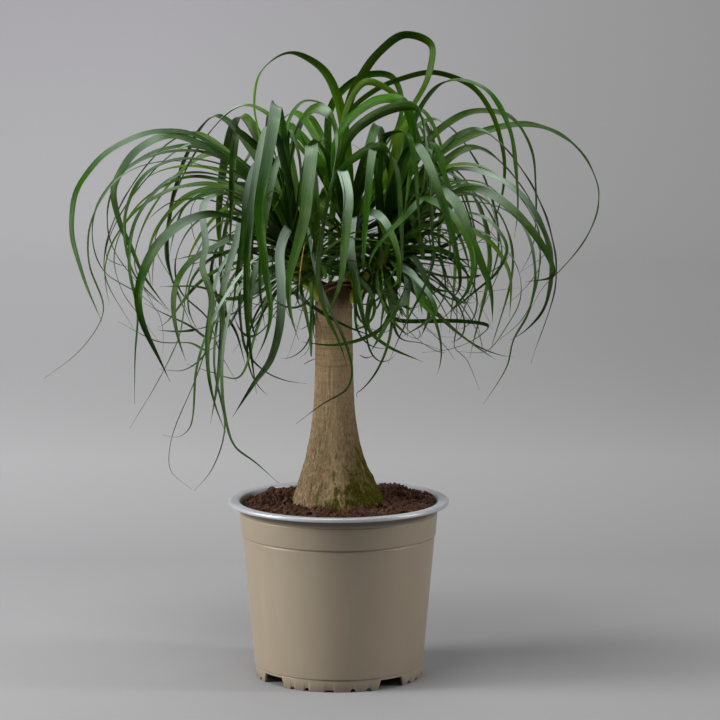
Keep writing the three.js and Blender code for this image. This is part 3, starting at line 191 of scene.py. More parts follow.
# One row a blade: width, most turn of its face to the front in degrees, depth at the middle and at
# the tip, then the route as across, up pairs. A blade marked True is torn off short.
BLADES = {
    "left": [
        [12, 15, -70, -150, [-66, 462, -102, 497, -150, 521, -205, 509, -243, 472, -252, 432, -244, 392,
         -235, 366, -224, 340]],
        [4, 15, -120, -190, [-74, 455, -140, 492, -200, 482, -232, 440, -236, 396, -222, 352, -244, 314,
         -280, 286]],
        [14, 30, -30, -40, [-85, 476, -125, 506, -160, 517, -192, 500, -211, 468, -208, 440, -196, 412,
         -184, 384, -160, 350]],
        [10, 18, -95, -120, [-70, 455, -102, 486, -146, 495, -180, 482, -200, 447, -201, 416, -193, 385,
         -163, 352]],
        [10, 18, 35, 20, [-70, 442, -105, 468, -146, 469, -187, 449, -212, 418, -221, 390, -217, 356]],
        [8, 25, -50, -60, [-70, 430, -102, 449, -128, 457, -159, 453, -182, 436]],
        [13, 20, 10, 0, [-80, 455, -110, 468, -144, 459, -168, 434, -180, 404, -177, 372]],
        [9, 20, 45, 40, [-72, 440, -105, 462, -138, 456, -160, 432, -173, 407, -177, 366]],
        [6, 30, -80, -90, [-75, 448, -110, 466, -143, 452, -155, 425, -160, 402]],
        [11, 28, -45, -70, [-62, 414, -92, 421, -118, 411, -141, 396, -153, 378, -156, 350, -152, 325,
         -145, 303]],
        [9, 20, -110, -150, [-78, 446, -110, 462, -127, 452, -125, 412, -129, 393, -120, 365, -124, 330,
         -124, 295, -118, 262, -107, 233]],
        [4, 20, -30, -20, [-72, 446, -100, 466, -105, 445, -106, 420, -110, 404]],
        [4, 20, 70, 90, [-80, 450, -120, 468, -138, 450, -138, 428, -131, 405]],
        [5, 30, 0, -20, [-66, 408, -92, 406, -120, 406, -158, 399]],
        [7, 40, 60, 80, [-62, 416, -92, 422, -108, 421, -119, 415]],
        [8, 30, -75, -110, [-62, 388, -85, 366, -104, 362, -130, 373, -169, 374]],
        [9, 15, -60, -90, [-70, 432, -90, 440, -96, 418, -104, 392, -110, 365, -110, 335, -113, 300,
         -116, 275, -122, 243]],
        [14, 60, -125, -190, [-46, 460, -51, 512, -55, 537, -58, 546, -60, 534, -67, 494, -75, 447,
         -72, 412, -67, 375, -64, 348, -70, 322, -79, 304]],
        [11, 60, -100, -150, [-52, 470, -61, 504, -66, 516, -70, 511, -74, 497, -82, 453, -89, 425,
         -89, 400, -79, 362]],
        [8, 50, -60, -90, [-58, 460, -76, 490, -86, 465, -90, 425, -96, 385, -101, 345]],
        [15, 60, -150, -232, [-30, 460, -27, 495, -25, 508, -26, 496, -29, 468, -31, 445, -39, 412,
         -47, 382, -46, 350, -38, 323]],
        [13, 80, -90, -130, [-46, 470, -42, 516, -34, 535, -21, 543, -8, 536, -2, 514, -3, 490, -12, 447,
         -18, 410, -20, 385, -12, 347, -1, 325, 9, 296]],
        [4, 20, -95, -140, [-38, 450, -28, 424, -22, 390, -8, 352, 6, 322, 13, 294, 8, 276, -15, 262,
         -41, 242]],
        [4, 15, -70, -110, [-46, 470, -46, 522, -37, 498, -36, 463, -43, 432, -51, 417]],
        [10, 35, -40, -70, [-60, 490, -78, 507, -94, 519, -99, 494, -101, 447, -103, 410]],
        [11, 60, -110, -170, [-46, 430, -55, 410, -54, 372, -56, 335, -65, 303, -80, 282, -101, 249]],
        [8, 30, 75, 60, [-90, 442, -130, 438, -153, 405, -150, 370, -124, 344, -113, 312, -97, 283]],
        [8, 15, 40, 20, [-70, 428, -88, 410, -93, 375, -93, 345, -87, 312, -70, 293, -50, 284, -30, 281]],
        [8, 20, 95, 90, [-85, 430, -112, 415, -120, 380, -108, 350, -97, 330, -88, 297]],
        [5, 20, -50, -60, [-54, 402, -58, 386, -44, 370, -14, 348, 10, 335, 34, 326]],
        [4, 20, 60, 90, [-75, 385, -100, 345, -123, 313, -140, 320, -170, 321, -208, 340]],
        [5, 20, 105, 120, [-80, 375, -105, 335, -122, 324, -140, 336, -165, 348, -184, 358]],
        [6, 25, -20, -60, [-62, 375, -78, 330, -95, 287, -120, 292, -144, 300]],
        [5, 20, -75, -100, [-90, 415, -116, 380, -119, 340, -127, 309, -147, 294, -170, 295]],
        [6, 30, 110, 60, [-85, 462, -140, 478, -190, 450, -212, 405, -205, 370, -190, 348, -171, 322]],
        [5, 30, -115, -140, [-90, 470, -150, 480, -190, 440, -198, 395, -190, 350, -193, 310, -194, 262]],
        [6, 20, 20, -30, [-78, 440, -118, 430, -142, 380, -150, 330, -168, 290, -199, 238]],
        [5, 10, -100, -150, [-60, 402, -95, 370, -110, 310, -108, 250, -99, 221, -80, 206, -57, 185]],
        [6, 10, -40, -60, [-72, 410, -106, 372, -118, 300, -108, 240, -121, 198, -138, 178]],
        [4, 10, 30, 20, [-70, 400, -112, 350, -134, 290, -160, 225, -160, 197, -140, 179]],
        [4, 10, -130, -180, [-72, 404, -110, 360, -134, 300, -141, 240, -152, 230, -168, 232]],
        [12, 30, 25, 30, [-26, 432, -14, 458, -1, 471, 8, 465, 12, 448]],
        [10, 30, -10, -16, [-26, 418, -15, 436, -5, 439, 1, 424, 0, 400]],
        [12, 30, 26, 20, [-36, 440, -31, 480, -22, 510, -12, 498, -8, 468]],
        [9, 25, -60, -80, [-50, 400, -66, 404, -80, 384, -84, 350, -78, 322]],
    ],
    "back": [
        [8, 18, 50, 20, [-60, 466, -130, 502, -185, 494, -222, 462, -233, 425, -222, 388, -190, 368,
         -171, 350, -166, 328, -167, 310]],
        [10, 16, 80, 70, [-50, 462, -120, 504, -165, 504, -204, 481, -218, 446, -214, 412, -197, 386,
         -180, 366, -158, 351]],
        [6, 30, 100, 120, [-50, 460, -119, 486, -154, 487, -180, 477, -190, 463]],
        [12, 35, -20, -60, [8, 500, -2, 556, -18, 582, -46, 594, -72, 578, -79, 545, -74, 516, -66, 478]],
        [6, 40, 0, -30, [4, 500, -10, 543, -32, 549, -47, 530, -47, 490, -55, 458, -72, 432]],
        [12, 50, 30, 10, [2, 510, 20, 571, 60, 611, 87, 602, 82, 565, 58, 528, 40, 500, 29, 478]],
        [9, 30, 60, 40, [-8, 490, -6, 546, 22, 572, 50, 572, 60, 545, 50, 510, 38, 478]],
        [9, 35, -20, -60, [4, 490, 6, 538, 25, 567, 53, 555, 73, 522, 82, 490, 85, 450]],
        [10, 18, 50, 80, [2, 500, 12, 541, 45, 565, 92, 576, 131, 558, 153, 513, 156, 470, 144, 426]],
        [13, 25, -45, -80, [-6, 490, 2, 522, 33, 549, 60, 549, 72, 505, 67, 478, 62, 440]],
        [12, 50, -90, -140, [0, 480, 10, 516, 43, 540, 73, 543, 83, 505, 87, 465, 88, 425, 90, 402, 83, 378,
         70, 352, 57, 325, 47, 300]],
        [11, 50, -70, -120, [-6, 465, 12, 494, 42, 506, 54, 488, 58, 450, 60, 410, 58, 370]],
        [12, 80, -100, -170, [2, 455, 3, 484, 9, 463, 8, 435, 5, 405, 1, 375, -13, 341]],
        [11, 70, -75, -100, [13, 440, 11, 412, 17, 375, 23, 345, 28, 321]],
        [11, 30, 30, -40, [32, 455, 55, 484, 76, 500, 93, 490, 99, 460, 94, 425, 98, 395, 101, 368,
         90, 346]],
        [16, 70, -14, -34, [15, 446, 21, 466, 28, 487], True],
        [5, 20, 0, -20, [25, 440, 42, 446, 57, 460, 68, 474, 85, 488]],
        [9, 60, -60, -100, [26, 444, 40, 440, 50, 424, 57, 400, 58, 366]],
        [12, 30, 4, 8, [2, 440, -10, 451, -21, 434, -18, 404]],
        [12, 30, -22, -28, [22, 440, 35, 444, 45, 424, 45, 396]],
        [13, 30, 30, 34, [15, 450, 22, 482, 32, 506, 44, 496, 50, 466]],
    ],
    "right": [
        [12, 13, 130, 150, [66, 462, 94, 499, 135, 520, 182, 527, 222, 508, 245, 468, 240, 432, 216, 396,
         193, 373, 181, 350]],
        [12, 24, -60, -90, [72, 455, 105, 484, 140, 481, 174, 459, 197, 418, 201, 385, 194, 352, 176, 331,
         163, 323]],
        [11, 16, 40, 20, [75, 460, 105, 488, 135, 487, 165, 466, 188, 430, 190, 395, 184, 362, 172, 340,
         147, 319]],
        [9, 18, -20, -40, [80, 450, 115, 470, 150, 462, 178, 425, 186, 385, 180, 350, 165, 322, 160, 298,
         138, 262]],
        [10, 24, 70, 60, [62, 470, 88, 516, 125, 539, 160, 535, 180, 508, 186, 460, 183, 410, 172, 387]],
        [14, 26, -90, -130, [70, 445, 92, 466, 110, 454, 121, 428, 134, 398, 144, 370, 146, 340]],
        [9, 22, -40, -60, [75, 440, 100, 441, 125, 428, 148, 411, 162, 384, 162, 345]],
        [5, 25, 60, 90, [80, 432, 115, 432, 150, 417, 170, 390, 172, 362, 158, 334, 140, 312, 112, 312]],
        [9, 35, -120, -160, [56, 440, 78, 457, 98, 450, 117, 428, 127, 400, 123, 372, 100, 344]],
        [9, 30, 0, -10, [60, 436, 85, 453, 105, 437, 118, 412, 125, 386]],
        [14, 30, -60, -80, [58, 480, 78, 544, 102, 568, 137, 561, 160, 525, 167, 484, 169, 445, 166, 421]],
        [9, 20, -90, -120, [38, 480, 44, 516, 64, 519, 72, 490, 75, 450, 78, 415]],
        [12, 20, 30, 20, [50, 470, 60, 524, 76, 541, 92, 520, 100, 480, 101, 440]],
        [12, 30, -30, -60, [48, 450, 57, 480, 70, 506, 88, 510, 98, 485, 105, 462, 107, 428]],
        [9, 30, 80, 90, [70, 460, 100, 488, 121, 473, 131, 449]],
        [4, 30, -25, -35, [75, 455, 105, 473, 138, 471, 163, 449]],
        [4, 20, 95, 110, [80, 455, 118, 473, 141, 456, 149, 430, 151, 402]],
        [5, 25, -100, -120, [90, 440, 135, 441, 159, 412, 150, 388, 130, 370, 97, 343]],
        [4, 20, 120, 90, [95, 450, 150, 450, 185, 420, 191, 396, 176, 372, 152, 351]],
        [5, 12, -30, -60, [40, 372, 52, 344, 85, 341, 115, 341, 142, 336, 128, 323, 105, 314, 79, 311]],
        [8, 20, -110, -120, [66, 448, 80, 459, 66, 444, 48, 426, 34, 408, 29, 394, 33, 383]],
        [8, 15, 60, 70, [72, 462, 93, 464, 88, 440, 78, 418, 70, 396, 61, 371]],
        [6, 15, 20, 0, [80, 420, 100, 388, 111, 362, 112, 338, 110, 316, 121, 305, 134, 275]],
        [9, 15, -60, -90, [62, 392, 64, 366, 50, 348, 40, 328, 30, 311]],
        [9, 25, -80, -110, [70, 385, 77, 362, 86, 350, 98, 343]],
        [7, 20, 40, 50, [58, 385, 48, 366, 24, 373]],
        [6, 20, -110, -130, [75, 380, 92, 350, 80, 338, 60, 326]],
        [5, 15, -45, -60, [34, 370, 28, 335, 45, 318, 80, 302]],
        [4, 15, 50, 60, [48, 360, 58, 325, 78, 320, 98, 313]],
        [4, 15, 40, 50, [80, 428, 112, 436, 137, 421, 120, 411, 98, 402]],
        [4, 15, 100, 110, [76, 413, 92, 420, 106, 428, 127, 441]],
        [5, 20, -50, -50, [54, 370, 44, 338, 25, 325, -5, 318, -34, 321]],
        [12, 30, 10, 14, [48, 440, 56, 470, 68, 492, 84, 496, 96, 478]],
        [9, 25, -40, -60, [50, 394, 68, 402, 82, 382, 86, 350, 78, 325]],
    ],
}
# Leaves that a rule places behind and inside: share of reach, rise, drop and lean along their way.
FAN_SEED = 20817
FAN_WAY = [[0.22, 0.62, 0, 0], [0.55, 1, 0, 0.3], [0.86, 0.55, 0, 0.6], [1, 0, 0.2, 0.8], [0.84, 0, 1, 1]]
FAR = {"reach": [140, 265], "rise": [45, 135], "drop": [10, 120], "width": [7, 13]}
NEAR = {"reach": [50, 115], "rise": [40, 110], "drop": [-15, 60], "width": [6, 11]}
# Fans of each head: number of leaves, the bearings that they lie between, and their kind.
FANS = {
    "left": [(8, 95, 155, FAR), (2, 212, 258, FAR), (4, 110, 300, NEAR)],
    "back": [(12, 20, 165, FAR), (5, 0, 180, NEAR)],
    "right": [(8, 28, 92, FAR), (2, -75, -35, FAR), (4, -110, 80, NEAR)],
}
FAN = {"limit": 240.0, "turn": 30.0, "lean": 0.5}
SPACING = {
    "rounds": 100, "step": 0.8, "smooth": 0.18, "reach": 8.0, "gap": 1.3, "share": 0.42,
    "same_head": 0.85, "other_head": 1.3, "root_segments": 2,
    "trunk_top": 384.0, "trunk_gap": 3.0, "trunk_back": 4.0, "search": 30.0,
}
# Finer form of a blade: steps between stations, points across, width, smoothing, the channel of its
# upper face, its thickness, the ripple of its edges, a torn end, and how its grain is laid out.
BLADE = {
    "steps": 6, "points": 7, "width": 0.81, "tip": 0.45, "smoothings": 3, "smoothing": 0.25,
    "channel": 0.095, "channel_middle": 0.4, "thickness": 0.5, "edge": 0.16, "edge_shape": 1.5,
    "thin": 0.35, "full_thickness_at": 5, "ripple": 0.35, "full_ripple_at": 4, "ripple_pace": 46.0,
    "ripple_spread": (0.7, 1.3), "torn_edge": (-3.0, 1.5), "torn_share": 0.9,
    "grain_shift": 9, "grain_pace": 4,
}
# Painted sheen: a pale highlight painted on the upper face past the point where a blade turns down:
# steepness at which it begins and is full, the shares of the length between which it ends, how much a blade
# shows inside a head and in front (least, most, bias to the least), the most on a curl, and each head's
# share.
PAINTED_SHEEN = {
    "slope": (-0.02, 0.42), "end": (0.34, 0.66), "inside": (0.0, 0.90, 1.3), "front": (0.50, 1.0, 0.8),
    "curls": 0.10, "heads": {"left": 0.72, "back": 1.0, "right": 0.95},
}
BLADE_SEED = 5531
# Most lightness of the green of a head's blades.
TONE = {"left": 0.44, "back": 0.95, "right": 0.80}
# Yellow-green of young blades, also painting the glow of light through them: most on blades in front of a
# depth, on those behind it by head, and its bias to none.
YOUTH_AND_GLOW = {"depth": -45.0, "front": 0.12, "inside": {"left": 0.35, "back": 0.45, "right": 0.75}, "bias": 1.6}


# Small vector and curve helpers, the same as those behind the solids.

def mix(a, b, t):
    return a + (b - a) * t


def unit(v):
    v = np.asarray(v, float)
    return v / np.linalg.norm(v)


class RandomSource:
    """The small repeatable random number source that also places the solids' blades."""

    def __init__(self, seed):
        self.state = seed

    def draw(self):
        word = 0xFFFFFFFF
        self.state = (self.state + 0x6D2B79F5) & word
        t = self.state
        t = ((t ^ (t >> 15)) * (t | 1)) & word
        t ^= (t + (((t ^ (t >> 7)) * (t | 61)) & word)) & word
        return ((t ^ (t >> 14)) & word) / 4294967296

    def between(self, limits):
        return mix(limits[0], limits[1], self.draw())


def curve_point(a, b, c, d, t):
    """Point between b and c on a centripetal Catmull-Rom curve through a, b, c, d."""
    t1 = math.sqrt(np.linalg.norm(b - a))
    t2 = t1 + math.sqrt(np.linalg.norm(c - b))
    t3 = t2 + math.sqrt(np.linalg.norm(d - c))
    s = mix(t1, t2, t)

    def blend(p, q, low, high):
        return (p * (high - s) + q * (s - low)) / (high - low)

    ab = blend(a, b, 0, t1)
    bc = blend(b, c, t1, t2)
    cd = blend(c, d, t2, t3)
    return blend(blend(ab, bc, 0, t2), blend(bc, cd, t1, t3), t1, t2)


def smooth_curve(points, steps=ROUTE_STEPS):
    """Close steps along the smooth curve through points."""
    points = [np.asarray(p, float) for p in points]
    ends = [2 * points[0] - points[1], *points, 2 * points[-1] - points[-2]]
    curve = []
    for span in range(len(points) - 1):
        for step in range(steps):
            curve.append(curve_point(*ends[span:span + 4], step / steps))
    return np.array([*curve, points[-1]])


def distances(curve):
    steps = np.linalg.norm(np.diff(curve, axis=0), axis=1)
    return np.concatenate([[0.0], np.cumsum(steps)])


def to_plane(points):
    """Where points are seen on the upright plane through the pot's axis."""
    points = np.asarray(points, float)
    scale = 1 + points[..., 1] / EYE["distance"]
    across = EYE["x"] + (points[..., 0] - EYE["x"]) / scale
    up = EYE["z"] + (points[..., 2] - EYE["z"]) / scale
    return np.stack([across, up], axis=-1)


def from_plane(spots, depth):
    """Points at a depth that are seen at spots of that plane."""
    spots = np.asarray(spots, float)
    scale = 1 + np.asarray(depth, float) / EYE["distance"]
    x = EYE["x"] + (spots[..., 0] - EYE["x"]) * scale
    z = EYE["z"] + (spots[..., 1] - EYE["z"]) * scale
    return np.stack([x, np.broadcast_to(depth, x.shape), z], axis=-1)


def stations_on(curve, count):
    """Places on the plane, depths and shares of the length at count steps, closer in the bends."""
    lengths = distances(curve)
    ways = np.diff(curve, axis=0)
    ways /= np.linalg.norm(ways, axis=1)[:, None]
    turns = np.concatenate([[0.0], np.linalg.norm(np.diff(ways, axis=0), axis=1)])
    paces = np.concatenate([[0.0], np.cumsum(np.diff(lengths) + BEND_PACE * turns)])
    targets = paces[-1] * np.arange(count + 1) / count
    points = np.stack([np.interp(targets, paces, curve[:, k]) for k in range(3)], axis=1)
    shares = np.interp(targets, paces, lengths) / lengths[-1]
    return to_plane(points), points[:, 1].copy(), shares


# The blades: their routes, how they are spaced, and their frames.

def root_spot(core, toward):
    way = unit(np.asarray(toward, float) - core)
    return np.asarray(core, float) + way * [ROOT["spread"], ROOT["spread"], ROOT["climb"]]


def listed_blade(head, row):
    """Blade from a row of the list: its depth is a parabola through the root, the middle and the tip."""
    width, turn, middle, end, flat = row[:5]
    core = HEADS[head]["core"]
    root = root_spot(core, from_plane(flat[:2], mix(core[1], middle, 0.5)))
    curve = smooth_curve([to_plane(root), *np.reshape(flat, (-1, 2))])
    u = np.linspace(0, 1, len(curve))
    depth = root[1] * (2 * u * u - 3 * u + 1) + middle * (4 * u - 4 * u * u) + end * (2 * u * u - u)
    return {"head": head, "width": width, "turn": math.radians(turn), "torn": len(row) > 5,
            "curve": from_plane(curve, depth)}


def fan_blade(head, fan, index, random):
    """Blade of a fan: it rises from its root, arches over and drops."""
    count, first, last, kind = fan
    core = HEADS[head]["core"]
    bearing = math.radians(mix(first, last, (index + random.draw()) / count))
    outward = core[0] * math.cos(bearing) + core[1] * math.sin(bearing)
    reach = min(random.between(kind["reach"]), FAN["limit"] - outward)
    rise, drop, width = [random.between(kind[name]) for name in ("rise", "drop", "width")]
    lean = (random.draw() - 0.5) * FAN["lean"]
    points = [
        [
            core[0] + reach * out * math.cos(bearing + lean * turned),
            core[1] + reach * out * math.sin(bearing + lean * turned),
            core[2] + rise * up - drop * down,
        ]
        for out, up, down, turned in FAN_WAY
    ]
    return {"head": head, "width": width, "turn": math.radians(FAN["turn"]), "torn": False,
            "curve": smooth_curve([root_spot(core, points[0]), *points])}


def blade_width(blade, u, least):
    opening = np.minimum(1, WIDTH["root"] + u * WIDTH["opening"])
    taper = 1 if blade["torn"] else np.maximum(0, 1 - u ** WIDTH["taper"]) ** WIDTH["tip_shape"]
    return np.maximum(least, blade["width"] * opening * taper)


def trunk_at(z):
    """Half width and sideways shift of the trunk at a height."""
    rows = np.array(TRUNK_PROFILE, float)
    return np.interp(z, rows[:, 0], rows[:, 1]), np.interp(z, rows[:, 0], rows[:, 2])


def nearest(p1, q1, p2, q2):
    """Nearest approach of many pairs of segments: shares along each and the vector between them."""
    d1, d2, r = q1 - p1, q2 - p2, p1 - p2
    a, e, b = (d1 * d1).sum(1), (d2 * d2).sum(1), (d1 * d2).sum(1)
    c, f = (d1 * r).sum(1), (d2 * r).sum(1)
    flat = np.maximum(a * e - b * b, 1e-9)
    s = np.clip((b * f - c * e) / flat, 0, 1)
    t = np.clip((b * s + f) / e, 0, 1)
    s = np.clip((b * t - c) / a, 0, 1)
    return s, t, r + d1 * s[:, None] - d2 * t[:, None]


def segment_pairs(blades, radii):
    """Pairs of segments of different blades that may come near each other, and the room they need."""
    heads = np.array([list(HEADS).index(blade["head"]) for blade in blades])
    owner = np.repeat(np.arange(len(blades)), STATIONS)
    place = np.tile(np.arange(STATIONS), len(blades))
    spots = np.array([blade["spots"] for blade in blades])
    low = np.minimum(spots[:, :-1], spots[:, 1:]).reshape(-1, 2) - SPACING["search"]
    high = np.maximum(spots[:, :-1], spots[:, 1:]).reshape(-1, 2) + SPACING["search"]
    near = (low[None] <= high[:, None]).all(2) & (high[None] >= low[:, None]).all(2)
    first, second = np.nonzero(near & (owner[None] > owner[:, None]))
    same = heads[owner[first]] == heads[owner[second]]
    clear = np.minimum(place[first], place[second]) >= SPACING["root_segments"]
    kept = ~same | clear
    first, second, same = first[kept], second[kept], same[kept]
    room = radii[owner[first], place[first]] + radii[owner[second], place[second]]
    need = room * np.where(same, SPACING["same_head"], SPACING["other_head"]) + SPACING["gap"]
    return owner[first], place[first], owner[second], place[second], need


def largest_pushes(points, pairs):
    """Strongest push in depth on each station from the segments that are too near."""
    owner_a, place_a, owner_b, place_b, need = pairs
    low = points.min(1) - SPACING["reach"]
    high = points.max(1) + SPACING["reach"]
    met = ~((low[:, None] > high[None]) | (low[None] > high[:, None])).any(2)
    p1, q1 = points[owner_a, place_a], points[owner_a, place_a + 1]
    p2, q2 = points[owner_b, place_b], points[owner_b, place_b + 1]
    over = np.minimum(p1, q1) - np.maximum(p2, q2)
    under = np.minimum(p2, q2) - np.maximum(p1, q1)
    near = met[owner_a, owner_b] & (np.maximum(over, under) <= need[:, None]).all(1)
    s, t, gap = nearest(p1[near], q1[near], p2[near], q2[near])
    room = need[near]
    aside = gap[:, 0] ** 2 + gap[:, 2] ** 2
    close = aside + gap[:, 1] ** 2 < room * room
    s, t, gap, room, aside = s[close], t[close], gap[close], room[close], aside[close]
    blade_a, step_a, blade_b, step_b = [value[near][close] for value in pairs[:4]]
    push = np.where(gap[:, 1] >= 0, 1, -1) * (np.sqrt(room * room - aside) - np.abs(gap[:, 1])) * 0.5
    first_a, first_b = blade_a * (STATIONS + 1) + step_a, blade_b * (STATIONS + 1) + step_b
    where = np.stack([first_a, first_a + 1, first_b, first_b + 1], 1)
    value = np.stack([push * np.minimum(1, 1.5 - s), push * np.minimum(1, 0.5 + s),
                      -push * np.minimum(1, 1.5 - t), -push * np.minimum(1, 0.5 + t)], 1)
    order = np.argsort(np.abs(value.ravel()), kind="stable")
    pushes = np.zeros(points.shape[0] * points.shape[1])
    pushes[where.ravel()[order]] = value.ravel()[order]
    return pushes.reshape(points.shape[:2])


def space_out(blades):
    """Pushes blades apart in depth where they come too near each other, and clear of the trunk."""
    spots = np.array([blade["spots"] for blade in blades])
    rest = np.array([blade["depths"] for blade in blades])
    widths = [blade_width(blade, blade["shares"], WIDTH["tip"]) for blade in blades]
    radii = np.array(widths) * SPACING["share"]
    pairs = segment_pairs(blades, radii)
    depth = rest.copy()
    for _ in range(SPACING["rounds"]):
        shifts = depth - rest + SPACING["step"] * largest_pushes(from_plane(spots, depth), pairs)
        beside = (shifts[:, :-1] + np.concatenate([shifts[:, 2:], shifts[:, -1:]], 1)) / 2
        depth[:, 1:] = rest[:, 1:] + mix(shifts[:, 1:], beside, SPACING["smooth"])
        x, y, z = np.moveaxis(from_plane(spots, depth), -1, 0)
        half, shift = trunk_at(z)
        room = half + radii + SPACING["trunk_gap"]
        held = (z < SPACING["trunk_top"]) & (np.hypot(x - shift, y) < room)
        held[:, :SPACING["root_segments"]] = False
        out = np.sqrt(np.maximum(0, room * room - (x - shift) ** 2))
        depth = np.where(held, np.where(y > SPACING["trunk_back"], out, -out), depth)
    return depth


def make_blades():
    """Every blade with its stations, and its depths before and after the spacing."""
    random = RandomSource(FAN_SEED)
    blades = []
    for head in HEADS:
        blades += [listed_blade(head, row) for row in BLADES[head]]
        for fan in FANS[head]:
            blades += [fan_blade(head, fan, index, random) for index in range(fan[0])]
    for blade in blades:
        blade["spots"], blade["depths"], blade["shares"] = stations_on(blade["curve"], STATIONS)
    for blade, depth in zip(blades, space_out(blades)):
        blade["spaced"] = depth
    return blades


def smooth_between(values, count):
    """Uniform Catmull-Rom values at count steps between each pair of values."""
    values = np.asarray(values, float)
    ends = np.concatenate([[2 * values[0] - values[1]], values, [2 * values[-1] - values[-2]]])
    t = (np.arange(count) / count).reshape((-1,) + (1,) * (values.ndim - 1))
    rows = []
    for i in range(len(values) - 1):
        a, b, c, d = ends[i:i + 4]
        rows.append(0.5 * (2 * b + (c - a) * t + (2 * a - 5 * b + 4 * c - d) * t ** 2
                           + (3 * b - a - 3 * c + d) * t ** 3))
    return np.concatenate([*rows, values[-1:]])


def tangents_of(points):
    ways = np.concatenate([points[1:2] - points[:1], points[2:] - points[:-2], points[-1:] - points[-2:-1]])
    return ways / np.linalg.norm(ways, axis=1)[:, None]


def blade_sides(points, turn):
    """Flat side of a blade at its stations, turned to the front as far as its own angle allows."""
    tangents = tangents_of(points)
    side = unit(np.cross(tangents[0], UP))
    if np.cross(tangents[0], side)[2] < 0:
        side = -side
    angle = 0.0
    sides = []
    for tangent in tangents:
        side = unit(side - tangent * side.dot(tangent))
        face = np.cross(tangent, side)
        to_front = math.atan2(-side[1], -face[1])
        wanted = min(abs(to_front), turn * min(1, TURN["gain"] * abs(math.sin(to_front))))
        change = math.copysign(wanted, to_front) - angle
        angle += math.copysign(min(abs(change), math.radians(TURN["step"])), change)
        sides.append(unit(side * math.cos(angle) - face * math.sin(angle)))
    return np.array(sides)


# Meshes: grids of points in millimetres, joined into one object with its attributes.

class Patches:
    """Collects grids of points and small closed shapes, then makes one mesh of them."""

    def __init__(self):
        self.points, self.faces, self.slots, self.marks, self.places = [], [], [], [], []
        self.creases = []
        self.count = 0

    def add(self, points, faces, slot=0, mark=(0, 0, 0, 0), place=None):
        points = np.asarray(points, float).reshape(-1, 3)
        faces = np.asarray(faces, int)
        self.points.append(points)
        self.faces.append(faces + self.count)
        self.slots.append(np.broadcast_to(slot, len(faces)))
        self.marks.append(np.broadcast_to(np.asarray(mark, float), (len(points), 4)))
        self.places.append(np.zeros((len(points), 2)) if place is None else np.asarray(place, float))
        self.count += len(points)

    def cover(self, faces, start, slot=0):
        """Adds faces between points that are already in, counted from one of them."""
        faces = np.asarray(faces, int)
        self.faces.append(faces + start)
        self.slots.append(np.full(len(faces), slot))

    def crease(self, firsts, seconds):
        """Keeps the edges between pairs of points crisp."""
        self.creases.append(np.sort(np.stack([firsts, seconds], axis=1), axis=1))

    def sharpen(self, mesh):
        edges = np.empty(len(mesh.edges) * 2, np.int32)
        mesh.edges.foreach_get("vertices", edges)
        edges = np.sort(edges.reshape(-1, 2), axis=1).astype(np.int64)
        wanted = np.concatenate(self.creases).astype(np.int64)
        sharp = np.isin(edges[:, 0] * self.count + edges[:, 1], wanted[:, 0] * self.count + wanted[:, 1])
        mesh.attributes.new("sharp_edge", "BOOLEAN", "EDGE").data.foreach_set("value", sharp)

    def build(self, name, materials, smooth=True):
        mesh = bpy.data.meshes.new(name)
        corners = [face for patch in self.faces for face in patch.tolist()]
        mesh.from_pydata((np.concatenate(self.points) * MM).tolist(), [], corners)
        mesh.polygons.foreach_set("material_index", np.concatenate(self.slots).astype(np.int32))
        mesh.polygons.foreach_set("use_smooth", np.full(len(corners), smooth))
        for material in materials:
            mesh.materials.append(material)
        marks = mesh.attributes.new("mark", "FLOAT_COLOR", "POINT")
        marks.data.foreach_set("color", np.concatenate(self.marks).astype(np.float32).ravel())
        owners = np.empty(len(mesh.loops), np.int32)
        mesh.loops.foreach_get("vertex_index", owners)
        layer = mesh.uv_layers.new(name="across_along")
        layer.data.foreach_set("uv", np.concatenate(self.places)[owners].astype(np.float32).ravel())
        mesh.validate()
        if self.creases:
            self.sharpen(mesh)
        mesh.update()
        return add_object(name, mesh)


def add_object(name, data):
    """New object of the scene around a mesh, a light or a camera."""
    added = bpy.data.objects.new(name, data)
    bpy.context.scene.collection.objects.link(added)
    return added


def angles_around(count):
    return np.arange(count) * TURN_ROUND / count


def circle(radius, angles, x=0.0, y=0.0, z=0.0):
    """Level ring of points around a centre."""
    return np.stack([x + radius * np.cos(angles), y + radius * np.sin(angles), z + 0 * angles], axis=1)


def fan_faces(ring, centre):
    """Triangles between a ring of points, given by their numbers, and a middle point."""
    return np.stack([ring, np.roll(ring, -1), np.full(len(ring), centre)], axis=1)


def grid_faces(rows, columns, around=True, flip=False):
    """Four-sided faces between the rows of a grid, closed around where asked."""
    row = np.arange(rows - 1)[:, None] * columns
    column = np.arange(columns if around else columns - 1)[None]
    after = (column + 1) % columns
    a, b = (row + column).ravel(), (row + after).ravel()
    faces = np.stack([a, b, b + columns, a + columns], axis=1)
    return faces[:, ::-1] if flip else faces


def tube(points, radii, sides):
    """Rings of points around a line, for a stalk or a strand."""
    off_line = [0.31, 0.22, 0.93]
    points = np.asarray(points, float)
    tangents = tangents_of(points)
    side = unit(np.cross(tangents[0], off_line))
    angles = angles_around(sides)
    rings = []
    for point, way, radius in zip(points, tangents, radii):
        side = unit(side - way * side.dot(way))
        face = np.cross(way, side)
        rings.append(point + radius * (np.cos(angles)[:, None] * side + np.sin(angles)[:, None] * face))
    return np.array(rings)


def place_piece(piece, slot, *nodes):
    """Puts a piece on the plant's one body and hides the solids it stands for; its slot is not used."""
    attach(piece, "root")
    if nodes:
        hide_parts(*nodes)
    return piece


